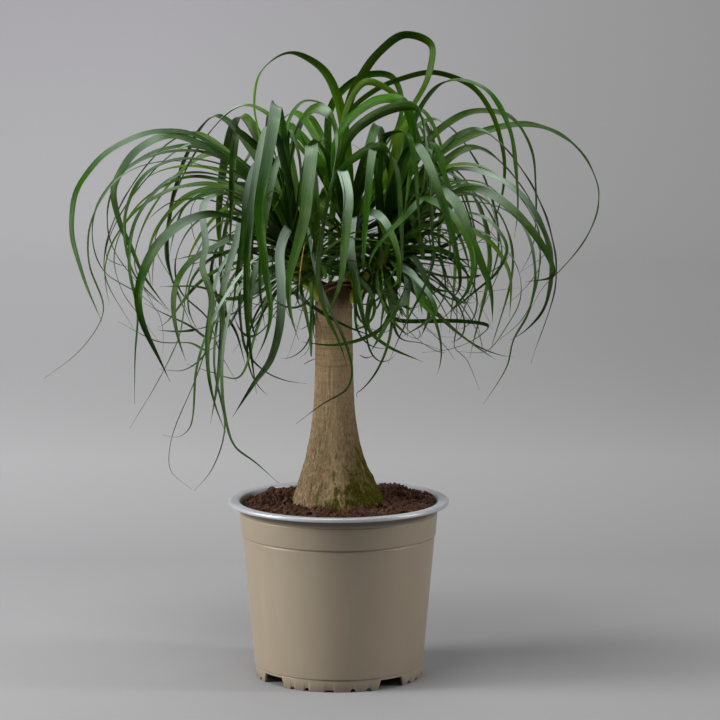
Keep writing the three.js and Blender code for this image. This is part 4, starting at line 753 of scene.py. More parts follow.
def ripple(point, scale, seed):
    """Smooth noise at a point in millimetres, about -1 to 1."""
    gain, lacunarity, octaves = 0.9, 2.0, 3
    place = Vector((point[0] / scale + seed, point[1] / scale - seed, point[2] / scale + 2 * seed))
    return noise.fractal(place, gain, lacunarity, octaves, noise_basis="PERLIN_ORIGINAL")


# Materials: colours in linear light, lengths in metres.

class Look:
    """A material's node tree around one Principled shader, and the colour painted on it so far."""

    def __init__(self, name, **settings):
        self.material = bpy.data.materials.new(name)
        self.material.use_nodes = True
        tree = self.material.node_tree
        tree.nodes.clear()
        self.nodes, self.links = tree.nodes, tree.links
        values = {socket.replace("_", " "): value for socket, value in settings.items()}
        self.shader = self.node("BsdfPrincipled", values)
        self.node("OutputMaterial", {"Surface": self.shader.outputs["BSDF"]})
        self.space = self.node("TexCoord", {}).outputs["Object"]
        self.colour = None

    def node(self, kind, inputs, **properties):
        """New node with its properties, and its inputs linked or set."""
        node = self.nodes.new("ShaderNode" + kind)
        for name, value in properties.items():
            setattr(node, name, value)
        for name, value in inputs.items():
            self.put(value, node.inputs[name])
        return node

    def put(self, value, socket):
        """Links or sets a socket; a colour gets its alpha."""
        if isinstance(value, bpy.types.NodeSocket):
            self.links.new(value, socket)
        elif isinstance(value, tuple) and len(value) < len(socket.default_value):
            socket.default_value = (*value, 1.0)
        else:
            socket.default_value = value

    def noise(self, scale, detail=3.0, roughness=0.55, distortion=0.0, vector=None):
        """Soft noise, drawn out along an axis where its scale is three numbers."""
        vector = self.space if vector is None else vector
        if isinstance(scale, tuple):
            vector = self.node("Mapping", {"Vector": vector, "Scale": scale}).outputs["Vector"]
            scale = 1.0
        values = {"Vector": vector, "Scale": scale, "Detail": detail, "Roughness": roughness,
                  "Distortion": distortion}
        return self.node("TexNoise", values).outputs["Fac"]

    def ramp(self, factor, *stops):
        """Values or colours along a factor, each stop a place and what is there."""
        node = self.node("ValToRGB", {"Fac": factor})
        elements = node.color_ramp.elements
        while len(elements) < len(stops):
            elements.new(0.5)
        for element, (place, value) in zip(elements, stops):
            element.position = place
            element.color = (*value, 1.0) if isinstance(value, tuple) else (value, value, value, 1.0)
        return node.outputs["Color"]

    def rise(self, factor, begin, end, most=1.0):
        return self.ramp(factor, (begin, 0.0), (end, most))

    def fall(self, factor, begin, end, most=1.0):
        return self.ramp(factor, (begin, most), (end, 0.0))

    def mix(self, factor, a, b):
        return self.node("Mix", {"Factor": factor, "A": a, "B": b}, data_type="RGBA").outputs["Result"]

    def paint(self, factor, colour):
        """Lays a colour over what is painted so far, as strongly as the factor says."""
        self.colour = self.mix(factor, self.colour, colour)

    def times(self, a, b):
        return self.node("Math", {0: a, 1: b}, operation="MULTIPLY").outputs[0]

    def plus(self, a, b):
        return self.node("Math", {0: a, 1: b}, operation="ADD").outputs[0]

    def axes(self):
        """Place on the plant, in metres."""
        return self.node("SeparateXYZ", {"Vector": self.space}).outputs

    def marks(self):
        """Tone, youth and glow, share along and painted sheen that the points of a blade carry."""
        source = self.node("Attribute", {}, attribute_name="mark")
        split = self.node("SeparateColor", {"Color": source.outputs["Color"]})
        return [*split.outputs, source.outputs["Alpha"]]

    def finish(self, height=None, strength=0.0, distance=0.0):
        """The material with its colour, and with a bump where it has a height."""
        self.put(self.colour, self.shader.inputs["Base Color"])
        if height is not None:
            bump = self.node("Bump", {"Height": height, "Strength": strength, "Distance": distance})
            self.put(bump.outputs["Normal"], self.shader.inputs["Normal"])
        return self.material


def leaf_look():
    """Waxy ribbon leaf: fine lengthwise veins, tone set by each blade, paler base, brown tip, a pale
    painted sheen where blades turn down, and the yellow-green of young blades, which also paints the glow
    of light through them.
    """
    look = Look("leaf", IOR=1.45, Specular_IOR_Level=0.17, Specular_Tint=(0.85, 1.0, 0.60),
                Subsurface_Weight=0.06, Subsurface_Radius=(0.0010, 0.0022, 0.0003))
    deep, fresh, young_glow = (0.0014, 0.0130, 0.0005), (0.0190, 0.0920, 0.0014), (0.1000, 0.1950, 0.0030)
    vein, fine_vein = (0.042, 0.105, 0.006), (0.065, 0.130, 0.018)
    painted_sheen_thin, painted_sheen_thick = (0.330, 0.460, 0.345), (0.600, 0.740, 0.620)
    pale_base, brown_tip = (0.200, 0.290, 0.030), (0.150, 0.115, 0.040)
    tone, youth_and_glow, share, painted_sheen = look.marks()
    across_along = look.node("UVMap", {}, uv_map="across_along").outputs["UV"]
    veins = look.noise((15.0, 5.0, 1.0), 2.0, 0.5, vector=across_along)
    fine_veins = look.noise((44.0, 8.0, 1.0), 2.0, 0.5, vector=across_along)
    look.colour = look.mix(tone, deep, fresh)
    look.paint(look.rise(look.noise(34.0), 0.42, 0.75, 0.35), look.mix(0.30, fresh, young_glow))
    # Yellow-green of young blades, partly a painted glow of light shining through thin leaves.
    look.paint(youth_and_glow, young_glow)
    look.paint(look.fall(veins, 0.30, 0.50, 0.65), deep)
    look.paint(look.rise(veins, 0.50, 0.72, 0.30), vein)
    look.paint(look.rise(fine_veins, 0.46, 0.70, 0.26), fine_vein)
    # Painted sheen: a pale silver-green highlight painted on the upper faces where blades turn down.
    look.paint(look.times(painted_sheen, 0.90), look.mix(veins, painted_sheen_thin, painted_sheen_thick))
    look.paint(look.ramp(share, (0.0, 0.70), (0.06, 0.21), (0.12, 0.0)), pale_base)
    look.paint(look.rise(share, 0.965, 1.0, 0.85), brown_tip)
    look.put(look.ramp(veins, (0.3, 0.22), (0.7, 0.34)), look.shader.inputs["Roughness"])
    return look.finish(look.plus(veins, look.times(fine_veins, 0.5)), 0.5, 0.0006)


def sheath_look():
    """Sheathing base of a shoot: yellow low down, green above, with brown patches."""
    look = Look("sheath", Roughness=0.5, Subsurface_Weight=0.1)
    yellow, green = (0.560, 0.540, 0.030), (0.110, 0.200, 0.015)
    straw, brown = (0.420, 0.430, 0.075), (0.170, 0.110, 0.045)
    fibres = look.noise((700.0, 700.0, 60.0), 3.0, 0.6)
    above = look.times(look.plus(look.axes()["Z"], -0.35), 14.0)
    look.colour = look.mix(look.rise(above, 0.25, 0.85), yellow, green)
    look.paint(look.rise(fibres, 0.35, 0.7, 0.35), straw)
    look.paint(look.rise(look.noise(90.0), 0.55, 0.75, 0.6), brown)
    return look.finish(fibres, 0.3, 0.0006)


def paint_flare(look, low):
    """Pale and dark flecks and damp shades on the low part of the bark."""
    flecks = look.noise((520.0, 520.0, 240.0), 4.0, 0.7)
    pale, dark = (0.520, 0.430, 0.300), (0.085, 0.055, 0.026)
    shade, damp = (0.190, 0.125, 0.062), (0.105, 0.072, 0.034)
    look.paint(look.times(look.rise(flecks, 0.52, 0.62, 0.9), low), pale)
    look.paint(look.times(look.fall(flecks, 0.36, 0.46, 0.9), low), dark)
    look.paint(look.rise(look.noise(24.0), 0.4, 0.7, 0.35), shade)
    look.paint(look.times(low, 0.44), damp)


def paint_side_light_and_shade(look, across):
    """Painted light on the front of the trunk and painted shade on its right side."""
    sideways = look.plus(look.times(across, 20.0), 0.5)
    painted_front_light, painted_side_shade = (0.500, 0.375, 0.205), (0.120, 0.086, 0.030)
    # Painted light on the trunk's front, then painted shade down its right side.
    look.paint(look.ramp(sideways, (0.15, 0.0), (0.43, 0.34), (0.68, 0.0)), painted_front_light)
    look.paint(look.rise(sideways, 0.58, 0.85, 0.50), painted_side_shade)


def paint_rings(look, height):
    """Dark and pale rings around the slim part of the trunk."""
    rings = look.noise((38.0, 38.0, 460.0), 4.0, 0.65, 0.8)
    slim = look.rise(height, 0.235, 0.300, 0.75)
    dark, pale = (0.205, 0.135, 0.066), (0.400, 0.300, 0.175)
    look.paint(look.times(look.rise(rings, 0.54, 0.64, 0.70), slim), dark)
    look.paint(look.times(look.fall(rings, 0.36, 0.42, 0.7), slim), pale)


def paint_moss(look, across, height):
    """Ragged moss low down on the right."""
    shape = look.noise((150.0, 150.0, 40.0), 4.0, 0.65)
    below = look.plus(look.times(height, -1.0), 0.204)
    reach = look.plus(look.times(across, 22.0), look.times(below, 15.0))
    ragged = look.plus(reach, look.times(look.plus(shape, -0.5), 4.2))
    tufts = look.noise((620.0, 620.0, 160.0), 4.0, 0.7)
    green = look.ramp(tufts, (0.34, (0.014, 0.014, 0.0005)), (0.52, (0.052, 0.050, 0.002)),
                      (0.70, (0.140, 0.122, 0.010)))
    look.paint(look.rise(ragged, 0.0, 0.60, 0.94), green)


def bark_look():
    """Fibrous ochre bark: upright fissures, pale flecks low down, rings higher up, moss on the right,
    painted light on the front and painted shade on the right side.
    """
    look = Look("bark", Roughness=0.9, Specular_IOR_Level=0.05)
    axes = look.axes()
    fine = look.noise((1150.0, 1150.0, 260.0), 5.0, 0.7)
    streaks = look.noise((420.0, 420.0, 55.0), 4.0, 0.65, 0.3)
    upper, fissure, fibre = (0.440, 0.313, 0.176), (0.085, 0.050, 0.024), (0.520, 0.420, 0.280)
    dark_cut, brown_cut = (0.026, 0.012, 0.007), (0.150, 0.078, 0.038)
    look.colour = look.ramp(streaks, (0.28, (0.130, 0.078, 0.036)), (0.44, (0.255, 0.172, 0.086)),
                            (0.58, (0.350, 0.250, 0.135)), (0.76, (0.470, 0.365, 0.220)))
    look.paint(look.rise(axes["Z"], 0.235, 0.285, 0.7), upper)
    look.paint(look.fall(fine, 0.34, 0.50, 0.85), fissure)
    look.paint(look.rise(fine, 0.55, 0.72, 0.65), fibre)
    paint_flare(look, look.fall(axes["Z"], 0.215, 0.290))
    # Painted light on the trunk's front and painted shade on its right.
    paint_side_light_and_shade(look, axes["X"])
    paint_rings(look, axes["Z"])
    paint_moss(look, axes["X"], axes["Z"])
    cut = look.rise(look.plus(axes["Z"], look.times(streaks, 0.012)), 0.358, 0.371, 0.92)
    look.paint(cut, look.mix(fine, dark_cut, brown_cut))
    return look.finish(look.plus(fine, look.times(streaks, 1.5)), 0.8, 0.0013)


def soil_look():
    """Reddish brown fibrous potting soil."""
    look = Look("soil", Roughness=0.97, Specular_IOR_Level=0.12)
    grain = look.noise(520.0, 5.0, 0.7)
    dry_clod = (0.108, 0.055, 0.034)
    look.colour = look.ramp(grain, (0.30, (0.016, 0.007, 0.004)), (0.50, (0.069, 0.032, 0.019)),
                            (0.72, (0.182, 0.099, 0.061)))
    look.paint(look.rise(look.noise(95.0), 0.4, 0.75, 0.5), dry_clod)
    return look.finish(grain, 0.9, 0.0018)


def fibre_look():
    """Dry straw-coloured fibres and dead leaf ends."""
    look = Look("dry_fibre", Roughness=0.8)
    shade = look.noise(300.0, 2.0)
    look.colour = look.ramp(shade, (0.3, (0.190, 0.090, 0.022)), (0.7, (0.450, 0.290, 0.085)))
    return look.finish()


def pot_look():
    """Taupe plastic skin of the pot, faintly streaked and scuffed, with a painted shadow under the lip."""
    look = Look("pot_taupe", Specular_IOR_Level=0.45)
    taupe, dull = (0.312, 0.258, 0.184), (0.284, 0.235, 0.168)
    scuff, shadow = (0.360, 0.305, 0.236), (0.045, 0.037, 0.027)
    cloud = look.noise(14.0)
    drag = look.noise((120.0, 120.0, 9.0), 3.0, 0.5)
    look.colour = look.mix(look.rise(cloud, 0.35, 0.7, 0.5), taupe, dull)
    look.paint(look.rise(drag, 0.55, 0.8, 0.25), scuff)
    # Painted shadow: a dark band painted on the wall just under the lip.
    look.paint(look.rise(look.times(look.axes()["Z"], 5.0), 0.793, 0.806, 0.75), shadow)
    look.put(look.ramp(drag, (0.3, 0.38), (0.7, 0.47)), look.shader.inputs["Roughness"])
    return look.finish(look.plus(look.noise(900.0, 2.0), cloud), 0.05, 0.0004)


def silver_look():
    """Silver-grey inside of the pot and its rim."""
    look = Look("pot_silver", Roughness=0.36, Metallic=0.25)
    grey, bright = (0.420, 0.436, 0.460), (0.490, 0.502, 0.522)
    look.colour = look.mix(look.rise(look.noise(30.0), 0.35, 0.7), grey, bright)
    return look.finish(look.noise(700.0, 2.0), 0.04, 0.0003)


def stage_look():
    """Studio grey with painted light and shade: darker to the right, lightest where the floor runs back, a
    little darker high up.
    """
    look = Look("studio_grey", Roughness=0.85, Specular_IOR_Level=0.2)
    axes = look.axes()
    # Painted light and shade: darker to the right, lighter where the floor sweeps up behind.
    right = look.rise(look.plus(axes["X"], 0.5), 0.0, 1.0)
    behind = look.ramp(look.times(axes["Y"], 0.25), (0.14, 0.0), (0.31, 0.70), (0.55, 0.9), (0.9, 1.0))
    floor = look.mix(right, (0.310, 0.308, 0.314), (0.250, 0.249, 0.252))
    wall = look.mix(right, (0.545, 0.542, 0.551), (0.440, 0.437, 0.440))
    high = look.mix(right, (0.465, 0.453, 0.484), (0.425, 0.423, 0.430))
    look.colour = look.mix(behind, floor, wall)
    # Painted shade: a little darker high up.
    look.paint(look.rise(axes["Z"], 0.05, 0.55), high)
    return look.finish()


# The pot.

def wall_radius(z):
    return mix(POT["foot_radius"], POT["wall_top_radius"], np.asarray(z, float) / POT["wall_top"])


def foot_marks():
    """Every notch and arch of the foot: angle from the front, and its outline (offset, height)."""
    marks = []
    arch = FOOT_ARCHES
    for quarter in range(arch["count"]):
        middle = FOOT_FIRST_ANGLE + quarter * 360 / arch["count"]
        outline = [[arch["top"] / 2, arch["height"]], [arch["bottom"] / 2, 0]]
        marks.append((middle + arch["offset"], outline))
        for offset, width, height in FOOT_NOTCHES:
            outline = [[width / 2 * across, height * up] for across, up in NOTCH_OUTLINE]
            marks.append((middle + offset, outline))
    return marks


def foot_line():
    """Angles around the foot, closer at its notches, and the height of the foot's edge there."""
    marks = foot_marks()
    angles = set(np.round(np.arange(POT["columns"]) * 360 / POT["columns"], 4))
    for middle, outline in marks:
        for offset, _ in outline:
            for way in (-1, 1):
                angles.add(round((middle + way * math.degrees(offset / POT["foot_radius"])) % 360, 4))
    angles = np.array(sorted(angles))
    heights = np.zeros(len(angles))
    for middle, outline in marks:
        away = np.abs((angles - middle + 180) % 360 - 180)
        offsets, ups = zip(*outline)
        across = np.radians(away) * POT["foot_radius"]
        heights = np.maximum(heights, np.interp(across, offsets, ups, right=0))
    return np.radians(angles), heights


def turned(radii, heights, angles):
    """Points around the pot's axis, angles counted from the front to the right."""
    radii, heights, angles = np.broadcast_arrays(radii, heights, angles)
    return np.stack([radii * np.sin(angles), -radii * np.cos(angles), heights], axis=-1)


def make_pot():
    angles, edge = foot_line()
    foot, floor_top = POT["foot_height"], POT["foot_height"] + POT["floor_thickness"]
    inner_foot = wall_radius(edge) - mix(POT["foot_thickness"], POT["foot_top_thickness"], edge / foot)
    rings = [
        turned(wall_radius(foot) - POT["foot_top_thickness"], foot, angles),
        turned(inner_foot, edge, angles),
        turned(inner_foot + FOOT_EDGE["round"], edge - FOOT_EDGE["sunk"], angles),
        turned(wall_radius(edge) - FOOT_EDGE["round"], edge - FOOT_EDGE["sunk"], angles),
        turned(wall_radius(edge), edge + FOOT_EDGE["raised"], angles),
    ]
    for z, out in WALL_LINES:
        rings.append(turned(wall_radius(z) + out, np.maximum(z, edge + FOOT_EDGE["wall_above"]), angles))
    first_silver = len(rings) + RIM_SECTION.index(SILVER_FROM)
    rings += [turned(r, z, angles) for r, z in RIM_SECTION]
    rings += [turned(wall_radius(z) - POT["wall"], z, angles) for z in (*POT["inside_levels"], floor_top)]
    patches = Patches()
    faces = grid_faces(len(rings), len(angles))
    patches.add(rings, faces, np.where(np.arange(len(faces)) // len(angles) >= first_silver, SILVER, 0))
    add_floor(patches, angles)
    return place_piece(patches.build("pot_shell", [pot_look(), silver_look()]), "pot_plastic", "pot")


def add_floor(patches, angles):
    """Raised floor: two discs with drain holes and the walls of the holes."""
    low, high = POT["foot_height"], POT["foot_height"] + POT["floor_thickness"]
    around = angles_around(DRAIN_HOLES["sides"])
    holes = [(DRAIN_HOLES["centre_radius"], around)]
    for i in range(DRAIN_HOLES["count"]):
        angle = (i + 0.5) * TURN_ROUND / DRAIN_HOLES["count"]
        x, y = DRAIN_HOLES["circle"] * math.cos(angle), DRAIN_HOLES["circle"] * math.sin(angle)
        holes.append((DRAIN_HOLES["radius"], around, x, y))
    for level, thickness, slot in ((low, POT["foot_top_thickness"], 0), (high, POT["wall"], SILVER)):
        border = turned(wall_radius(level) - thickness, level, angles)
        outlines = [border[:, :2], *(circle(*hole)[:, :2] for hole in holes)]
        add_flat(patches, outlines, level, slot, level == high)
    for hole in holes:
        wall = [circle(*hole) + UP * z for z in (low, high)]
        patches.add(wall, grid_faces(len(wall), len(around)), SILVER)


def add_flat(patches, outlines, level, slot, facing_up):
    """Flat face with holes, filled between its outlines."""
    points, loops = [], []
    for outline in outlines:
        loops.append(list(range(len(points), len(points) + len(outline))))
        points += [Vector(point) for point in outline]
    found, _, faces, _, _, _ = delaunay_2d_cdt(points, [], loops, WITHOUT_HOLES, FILL_PRECISION)
    start = patches.count
    patches.add([[point.x, point.y, level] for point in found], [])
    for face in faces:
        patches.cover([face if facing_up else face[::-1]], start, slot)


# The soil.

def soil_height(x, y):
    away = (x - SOIL["heap_x"]) ** 2 + (y - SOIL["heap_y"]) ** 2
    heap = math.exp(-away / (2 * SOIL["heap_reach"] ** 2))
    lumps = sum(depth * ripple((x, y, level), scale, seed) for depth, level, scale, seed in SOIL["lumps"])
    return SOIL["level"] + SOIL["heap"] * heap + lumps


def edge_drop(share):
    """How far the soil falls off near the pot's wall, at a share of its radius."""
    return SOIL["edge_drop"] * max(0.0, (share - SOIL["edge_from"]) / SOIL["edge_share"])


def make_soil():
    angles = angles_around(SOIL["columns"])
    rings = []
    for i in range(1, SOIL["rings"] + 1):
        share = i / SOIL["rings"]
        ring = circle(SOIL["edge_radius"] * share, angles)
        ring[:, 2] = [soil_height(x, y) - edge_drop(share) for x, y, _ in ring]
        rings.append(ring)
    for z in (*SOIL["wall_levels"], SOIL["bottom"]):
        rings.append(circle(wall_radius(z) - POT["wall"] - SOIL["wall_gap"], angles, z=z))
    middles = [[0, 0, SOIL["level"]], [0, 0, SOIL["bottom"]]]
    points = np.concatenate([*rings, middles])
    patches = Patches()
    patches.add(points, grid_faces(len(rings), len(angles)))
    columns = np.arange(len(angles))
    last = (len(rings) - 1) * len(angles)
    # The top's middle comes before its ring, so the faces there are turned over to match the grid.
    patches.cover(fan_faces(columns, len(points) - 2)[:, [1, 0, 2]], 0)
    patches.cover(fan_faces(last + columns, len(points) - 1), 0)
    look = soil_look()
    place_piece(patches.build("soil_bed", [look]), "soil", "soil")
    place_piece(make_crumbs(look), "soil")


def crumb_shape(fineness):
    """Points and faces of a small ball."""
    ball = bmesh.new()
    bmesh.ops.create_icosphere(ball, subdivisions=fineness, radius=1.0)
    points = np.array([v.co[:] for v in ball.verts])
    faces = [[v.index for v in f.verts] for f in ball.faces]
    ball.free()
    return points, faces


def make_crumbs(material):
    """Loose crumbs and clods strewn over the bed, each dented its own way."""
    random = np.random.RandomState(CRUMBS["seed"])
    patches = Patches()
    for count, fineness, sizes in CRUMBS["sorts"]:
        ball, faces = crumb_shape(fineness)
        for _ in range(count):
            radius = SOIL["edge_radius"] * CRUMBS["reach"] * math.sqrt(random.uniform(*CRUMBS["area"]))
            angle = random.uniform(0, TURN_ROUND)
            x, y = radius * math.cos(angle), radius * math.sin(angle)
            size = random.uniform(*sizes)
            stretch = size * random.uniform(*CRUMBS["stretch"], 3)
            spin, _ = np.linalg.qr(random.normal(size=(3, 3)))
            dents = 1 + CRUMBS["dent"] * random.normal(size=(len(ball), 1))
            ground = soil_height(x, y) - edge_drop(radius / SOIL["edge_radius"])
            centre = [x, y, ground + size * random.uniform(*CRUMBS["perch"])]
            patches.add((ball * dents * stretch) @ spin + centre, faces)
    return patches.build("soil_crumbs", [material], smooth=False)


# The trunk.

def bark_layer(name, x, y, z):
    layer = BARK[name]
    return ripple((x, y, z * layer["draw"]), layer["scale"], layer["seed"])


def trunk_ring(z, radius, shift, angles):
    """Ring of the trunk's skin at a height, with its relief."""
    flare = min(1.0, max(0.0, (BARK["flare_top"] - z) / BARK["flare_height"]))
    ragged = max(0.0, (z - BARK["ragged_from"]) / BARK["ragged_height"])
    fibre, furrow, ring = BARK["fibre"], BARK["furrow"], BARK["ring"]
    points = []
    for angle in angles:
        c, s = math.cos(angle), math.sin(angle)
        x, y = radius * c, radius * s
        mark = noise.noise(Vector((ring["radius"] * c, ring["radius"] * s, z * ring["pace"])))
        skin = fibre["depth"] * bark_layer("fibre", x, y, z)
        skin += (furrow["depth"] + furrow["flare_depth"] * flare) * bark_layer("furrow", x, y, z)
        skin += ring["depth"] * mark * (1 - flare)
        skin += ragged * BARK["ragged"]["depth"] * bark_layer("ragged", x, y, z)
        lift = ragged * BARK["torn"]["depth"] * bark_layer("torn", x, y, z)
        points.append([shift + (radius + skin) * c, (radius + skin) * s, z + lift])
    return points


def make_trunk():
    profile = smooth_curve(TRUNK_PROFILE, TRUNK["curve_steps"])
    levels = np.linspace(TRUNK["from"], TRUNK["top"], TRUNK["rows"])
    half = np.interp(levels, profile[:, 0], profile[:, 1])
    shift = np.interp(levels, profile[:, 0], profile[:, 2])
    angles = angles_around(TRUNK["columns"])
    rings = [trunk_ring(*row, angles) for row in zip(levels, half, shift)]
    patches = Patches()
    patches.add(rings, grid_faces(len(rings), len(angles)))
    add_cut(patches, np.array(rings[-1]))
    return place_piece(patches.build("trunk_bark", [bark_look()]), "bark", "trunk")


def add_cut(patches, border):
    """Old rough cut that closes the trunk's top."""
    centre = border.mean(0)
    centre[2] = CUT["centre"]
    rings = [border]
    for share in CUT["shares"]:
        ring = centre + (border - centre) * share
        ring[:, 2] += [CUT["depth"] * ripple(point, CUT["scale"], CUT["seed"]) for point in ring]
        rings.append(ring)
    patches.add(rings, grid_faces(len(rings), len(border)))
    patches.add([*rings[-1], centre], fan_faces(np.arange(len(border)), len(border)))


# The leaves.

def fine_blade(blade):
    """Finely stepped centre line, flat sides, half widths and shares of a blade."""
    spots, depth, shares = stations_on(blade["curve"], STATIONS * BLADE["steps"])
    shift = smooth_between((blade["spaced"] - blade["depths"])[:, None], BLADE["steps"])[:, 0]
    points = from_plane(spots, depth + shift)
    for _ in range(BLADE["smoothings"]):
        points[1:-1] += BLADE["smoothing"] * (points[:-2] + points[2:] - 2 * points[1:-1])
    coarse = from_plane(blade["spots"], blade["spaced"])
    sides = smooth_between(blade_sides(coarse, blade["turn"]), BLADE["steps"])
    width = BLADE["width"] * blade_width(blade, shares, BLADE["tip"])
    return points, sides, width / 2, shares


def ribbon_rings(points, sides, faces, half, lengths, across, random):
    """Rings of points around a channelled ribbon with rippled edges: its upper side, then its lower."""
    pace = BLADE["ripple_pace"] * random.uniform(*BLADE["ripple_spread"])
    waves = [np.sin(lengths * TURN_ROUND / pace + phase) for phase in random.uniform(0, TURN_ROUND, 2)]
    ripples = BLADE["ripple"] * np.minimum(1, half / BLADE["full_ripple_at"])
    thickness = np.minimum(1, BLADE["thin"] + half / BLADE["full_thickness_at"])
    upper, lower = [], []
    for t in across:
        edge = max(0.0, t) * waves[0] + max(0.0, -t) * waves[1]
        rise = BLADE["channel"] * 2 * half * (t * t - BLADE["channel_middle"]) + ripples * edge * abs(t)
        thick = mix(BLADE["thickness"], BLADE["edge"], abs(t) ** BLADE["edge_shape"]) * thickness
        top = points + sides * (half * t)[:, None] + faces * rise[:, None]
        upper.append(top)
        lower.append(top - faces * thick[:, None])
    return np.stack([*upper, *lower[::-1]], axis=1)


def blade_marks(blade, shares, ways, faces, count):
    """Marks of a ribbon's points: tone, youth and glow, share along, and the painted sheen of the side that
    is up.
    """
    marks = np.zeros((len(shares), 2 * count, 4))
    marks[..., :2] = blade["tone"], blade["youth_and_glow"]
    marks[..., 2] = shares[:, None] * (BLADE["torn_share"] if blade["torn"] else 1.0)
    begins, full_at = PAINTED_SHEEN["slope"]
    first, last = PAINTED_SHEEN["end"]
    # Painted sheen: strongest on the upper face where the blade slopes down past its shoulder, as a
    # highlight would be, fading towards the tip.
    shoulder = np.clip((-ways[:, 2] - begins) / (full_at - begins), 0, 1)
    shoulder *= np.clip((last - shares) / (last - first), 0, 1)
    painted_sheen = blade["painted_sheen"] * shoulder * shoulder * (3 - 2 * shoulder)
    above = faces[:, 2] > 0
    marks[:, :count, 3] = (painted_sheen * above)[:, None]
    marks[:, count:, 3] = (painted_sheen * ~above)[:, None]
    return marks


def add_ribbon(patches, line, blade, random, count, slot=0):
    """Thin channelled ribbon along a line, closed at its ends, with a number of points across."""
    points, sides, half, shares = line
    ways = tangents_of(points)
    sides = sides - ways * (sides * ways).sum(1)[:, None]
    sides /= np.linalg.norm(sides, axis=1)[:, None]
    faces = np.cross(ways, sides)
    lengths = distances(points)
    across = np.linspace(-1, 1, count)
    rings = ribbon_rings(points, sides, faces, half, lengths, across, random)
    columns = 2 * count
    if blade["torn"]:
        rings[-1] += ways[-1] * random.uniform(*BLADE["torn_edge"], (columns, 1))
    place = np.zeros((len(points), columns, 2))
    place[..., 0] = np.concatenate([across, across[::-1]]) * 0.5 + 0.5
    place[..., 0] += blade["tone"] * BLADE["grain_shift"]
    place[..., 1] = lengths[:, None] * MM * BLADE["grain_pace"]
    marks = blade_marks(blade, shares, ways, faces, count)
    start = patches.count
    along = start + np.arange(len(points) - 1) * columns
    for column in (0, count - 1, count, columns - 1):
        patches.crease(along + column, along + column + columns)
    grid = grid_faces(len(points), columns, flip=True)
    patches.add(rings, grid, slot, marks.reshape(-1, 4), place.reshape(-1, 2))
    cap = np.array([[k, k + 1, columns - 2 - k, columns - 1 - k] for k in range(count - 1)])
    patches.cover(cap, start, slot)
    patches.cover(cap[:, ::-1], start + (len(points) - 1) * columns, slot)


def stalk_radius(head, share):
    return np.interp(share, np.linspace(0, 1, len(head["radii"])), head["radii"])


def add_stalk(patches, head):
    """Smooth sheathing stalk from the trunk into the core of a head, and the core."""
    line = smooth_curve(head["stalk"], STALK["steps"])
    rings = tube(line, stalk_radius(head, np.linspace(0, 1, len(line))), STALK["sides"])
    patches.add(rings, grid_faces(len(rings), STALK["sides"]), SHEATH)
    x, y, z = head["core"]
    core = []
    for i in range(STALK["core_rings"] + 1):
        angle = (i / STALK["core_rings"] - 0.5) * math.pi
        bulge = max(STALK["core_end"], math.cos(angle)) ** CORE["bluntness"]
        radius = CORE["radius"] * bulge * STALK["core_inset"]
        height = CORE["half_height"] * math.sin(angle) * STALK["core_inset"]
        core.append(circle(radius, angles_around(STALK["sides"]), x, y, z + height))
    patches.add(core, grid_faces(len(core), STALK["sides"]), SHEATH)


def add_sheaths(patches, head, random):
    """Short leaf bases that hug the stalk and flare out around the core."""
    stalk = smooth_curve(head["stalk"], STALK["steps"])
    ways = tangents_of(stalk)
    share = np.linspace(0, 1, SHEATHS["steps"])
    least, base = SHEATHS["least"], SHEATHS["base_width"]
    shape = np.maximum(least, (1 - share ** 3)) * (base + (1 - base) * share)
    for index in range(SHEATHS["count"]):
        at = mix(*SHEATHS["part"], index / SHEATHS["count"])
        row = int(at * (len(stalk) - 1))
        way = ways[row]
        angle = index * SHEATHS["turn"] + random.uniform(-SHEATHS["stray"], SHEATHS["stray"])
        side = unit(np.cross(way, SHEATHS["across"]))
        out = side * math.cos(angle) + np.cross(way, side) * math.sin(angle)
        length = random.uniform(*SHEATHS["length"]) * mix(SHEATHS["low_length"], 1.0, at)
        lean = SHEATHS["spread"] * random.uniform(*SHEATHS["lean"])
        foot = stalk[row] + out * (stalk_radius(head, at) - SHEATHS["sink"])
        points = (foot + way * (share * length)[:, None]
                  + out * (lean * length * share ** SHEATHS["bend"])[:, None]
                  - UP * (SHEATHS["droop"] * length * share ** 3)[:, None])
        sides = np.tile(np.cross(way, out), (len(points), 1))
        half = random.uniform(*SHEATHS["width"]) / 2 * shape
        above, below = SHEATHS["youth_and_glow"]
        blade = {"tone": random.uniform(*SHEATHS["tone"]), "youth_and_glow": below * (1 - at) + above,
                 "torn": False, "painted_sheen": 0.0}
        line = points, sides, half, share * SHEATHS["along"]
        add_ribbon(patches, line, blade, random, SHEATHS["points"])


def clear_of_trunk(point):
    """Moves a point out of the trunk and from in front of it, with a small gap."""
    if point[2] > TRUNK["top"] + CURLS["top_gap"]:
        return point
    half, shift = trunk_at(point[2])
    away = np.array([point[0] - shift, max(0.0, point[1])])
    distance = max(1e-6, float(np.hypot(*away)))
    least = half + CURLS["trunk_gap"]
    if distance < least:
        point = point.copy()
        point[0] = shift + away[0] * least / distance
        point[1] = point[1] if point[1] < 0 else away[1] * least / distance
    return point


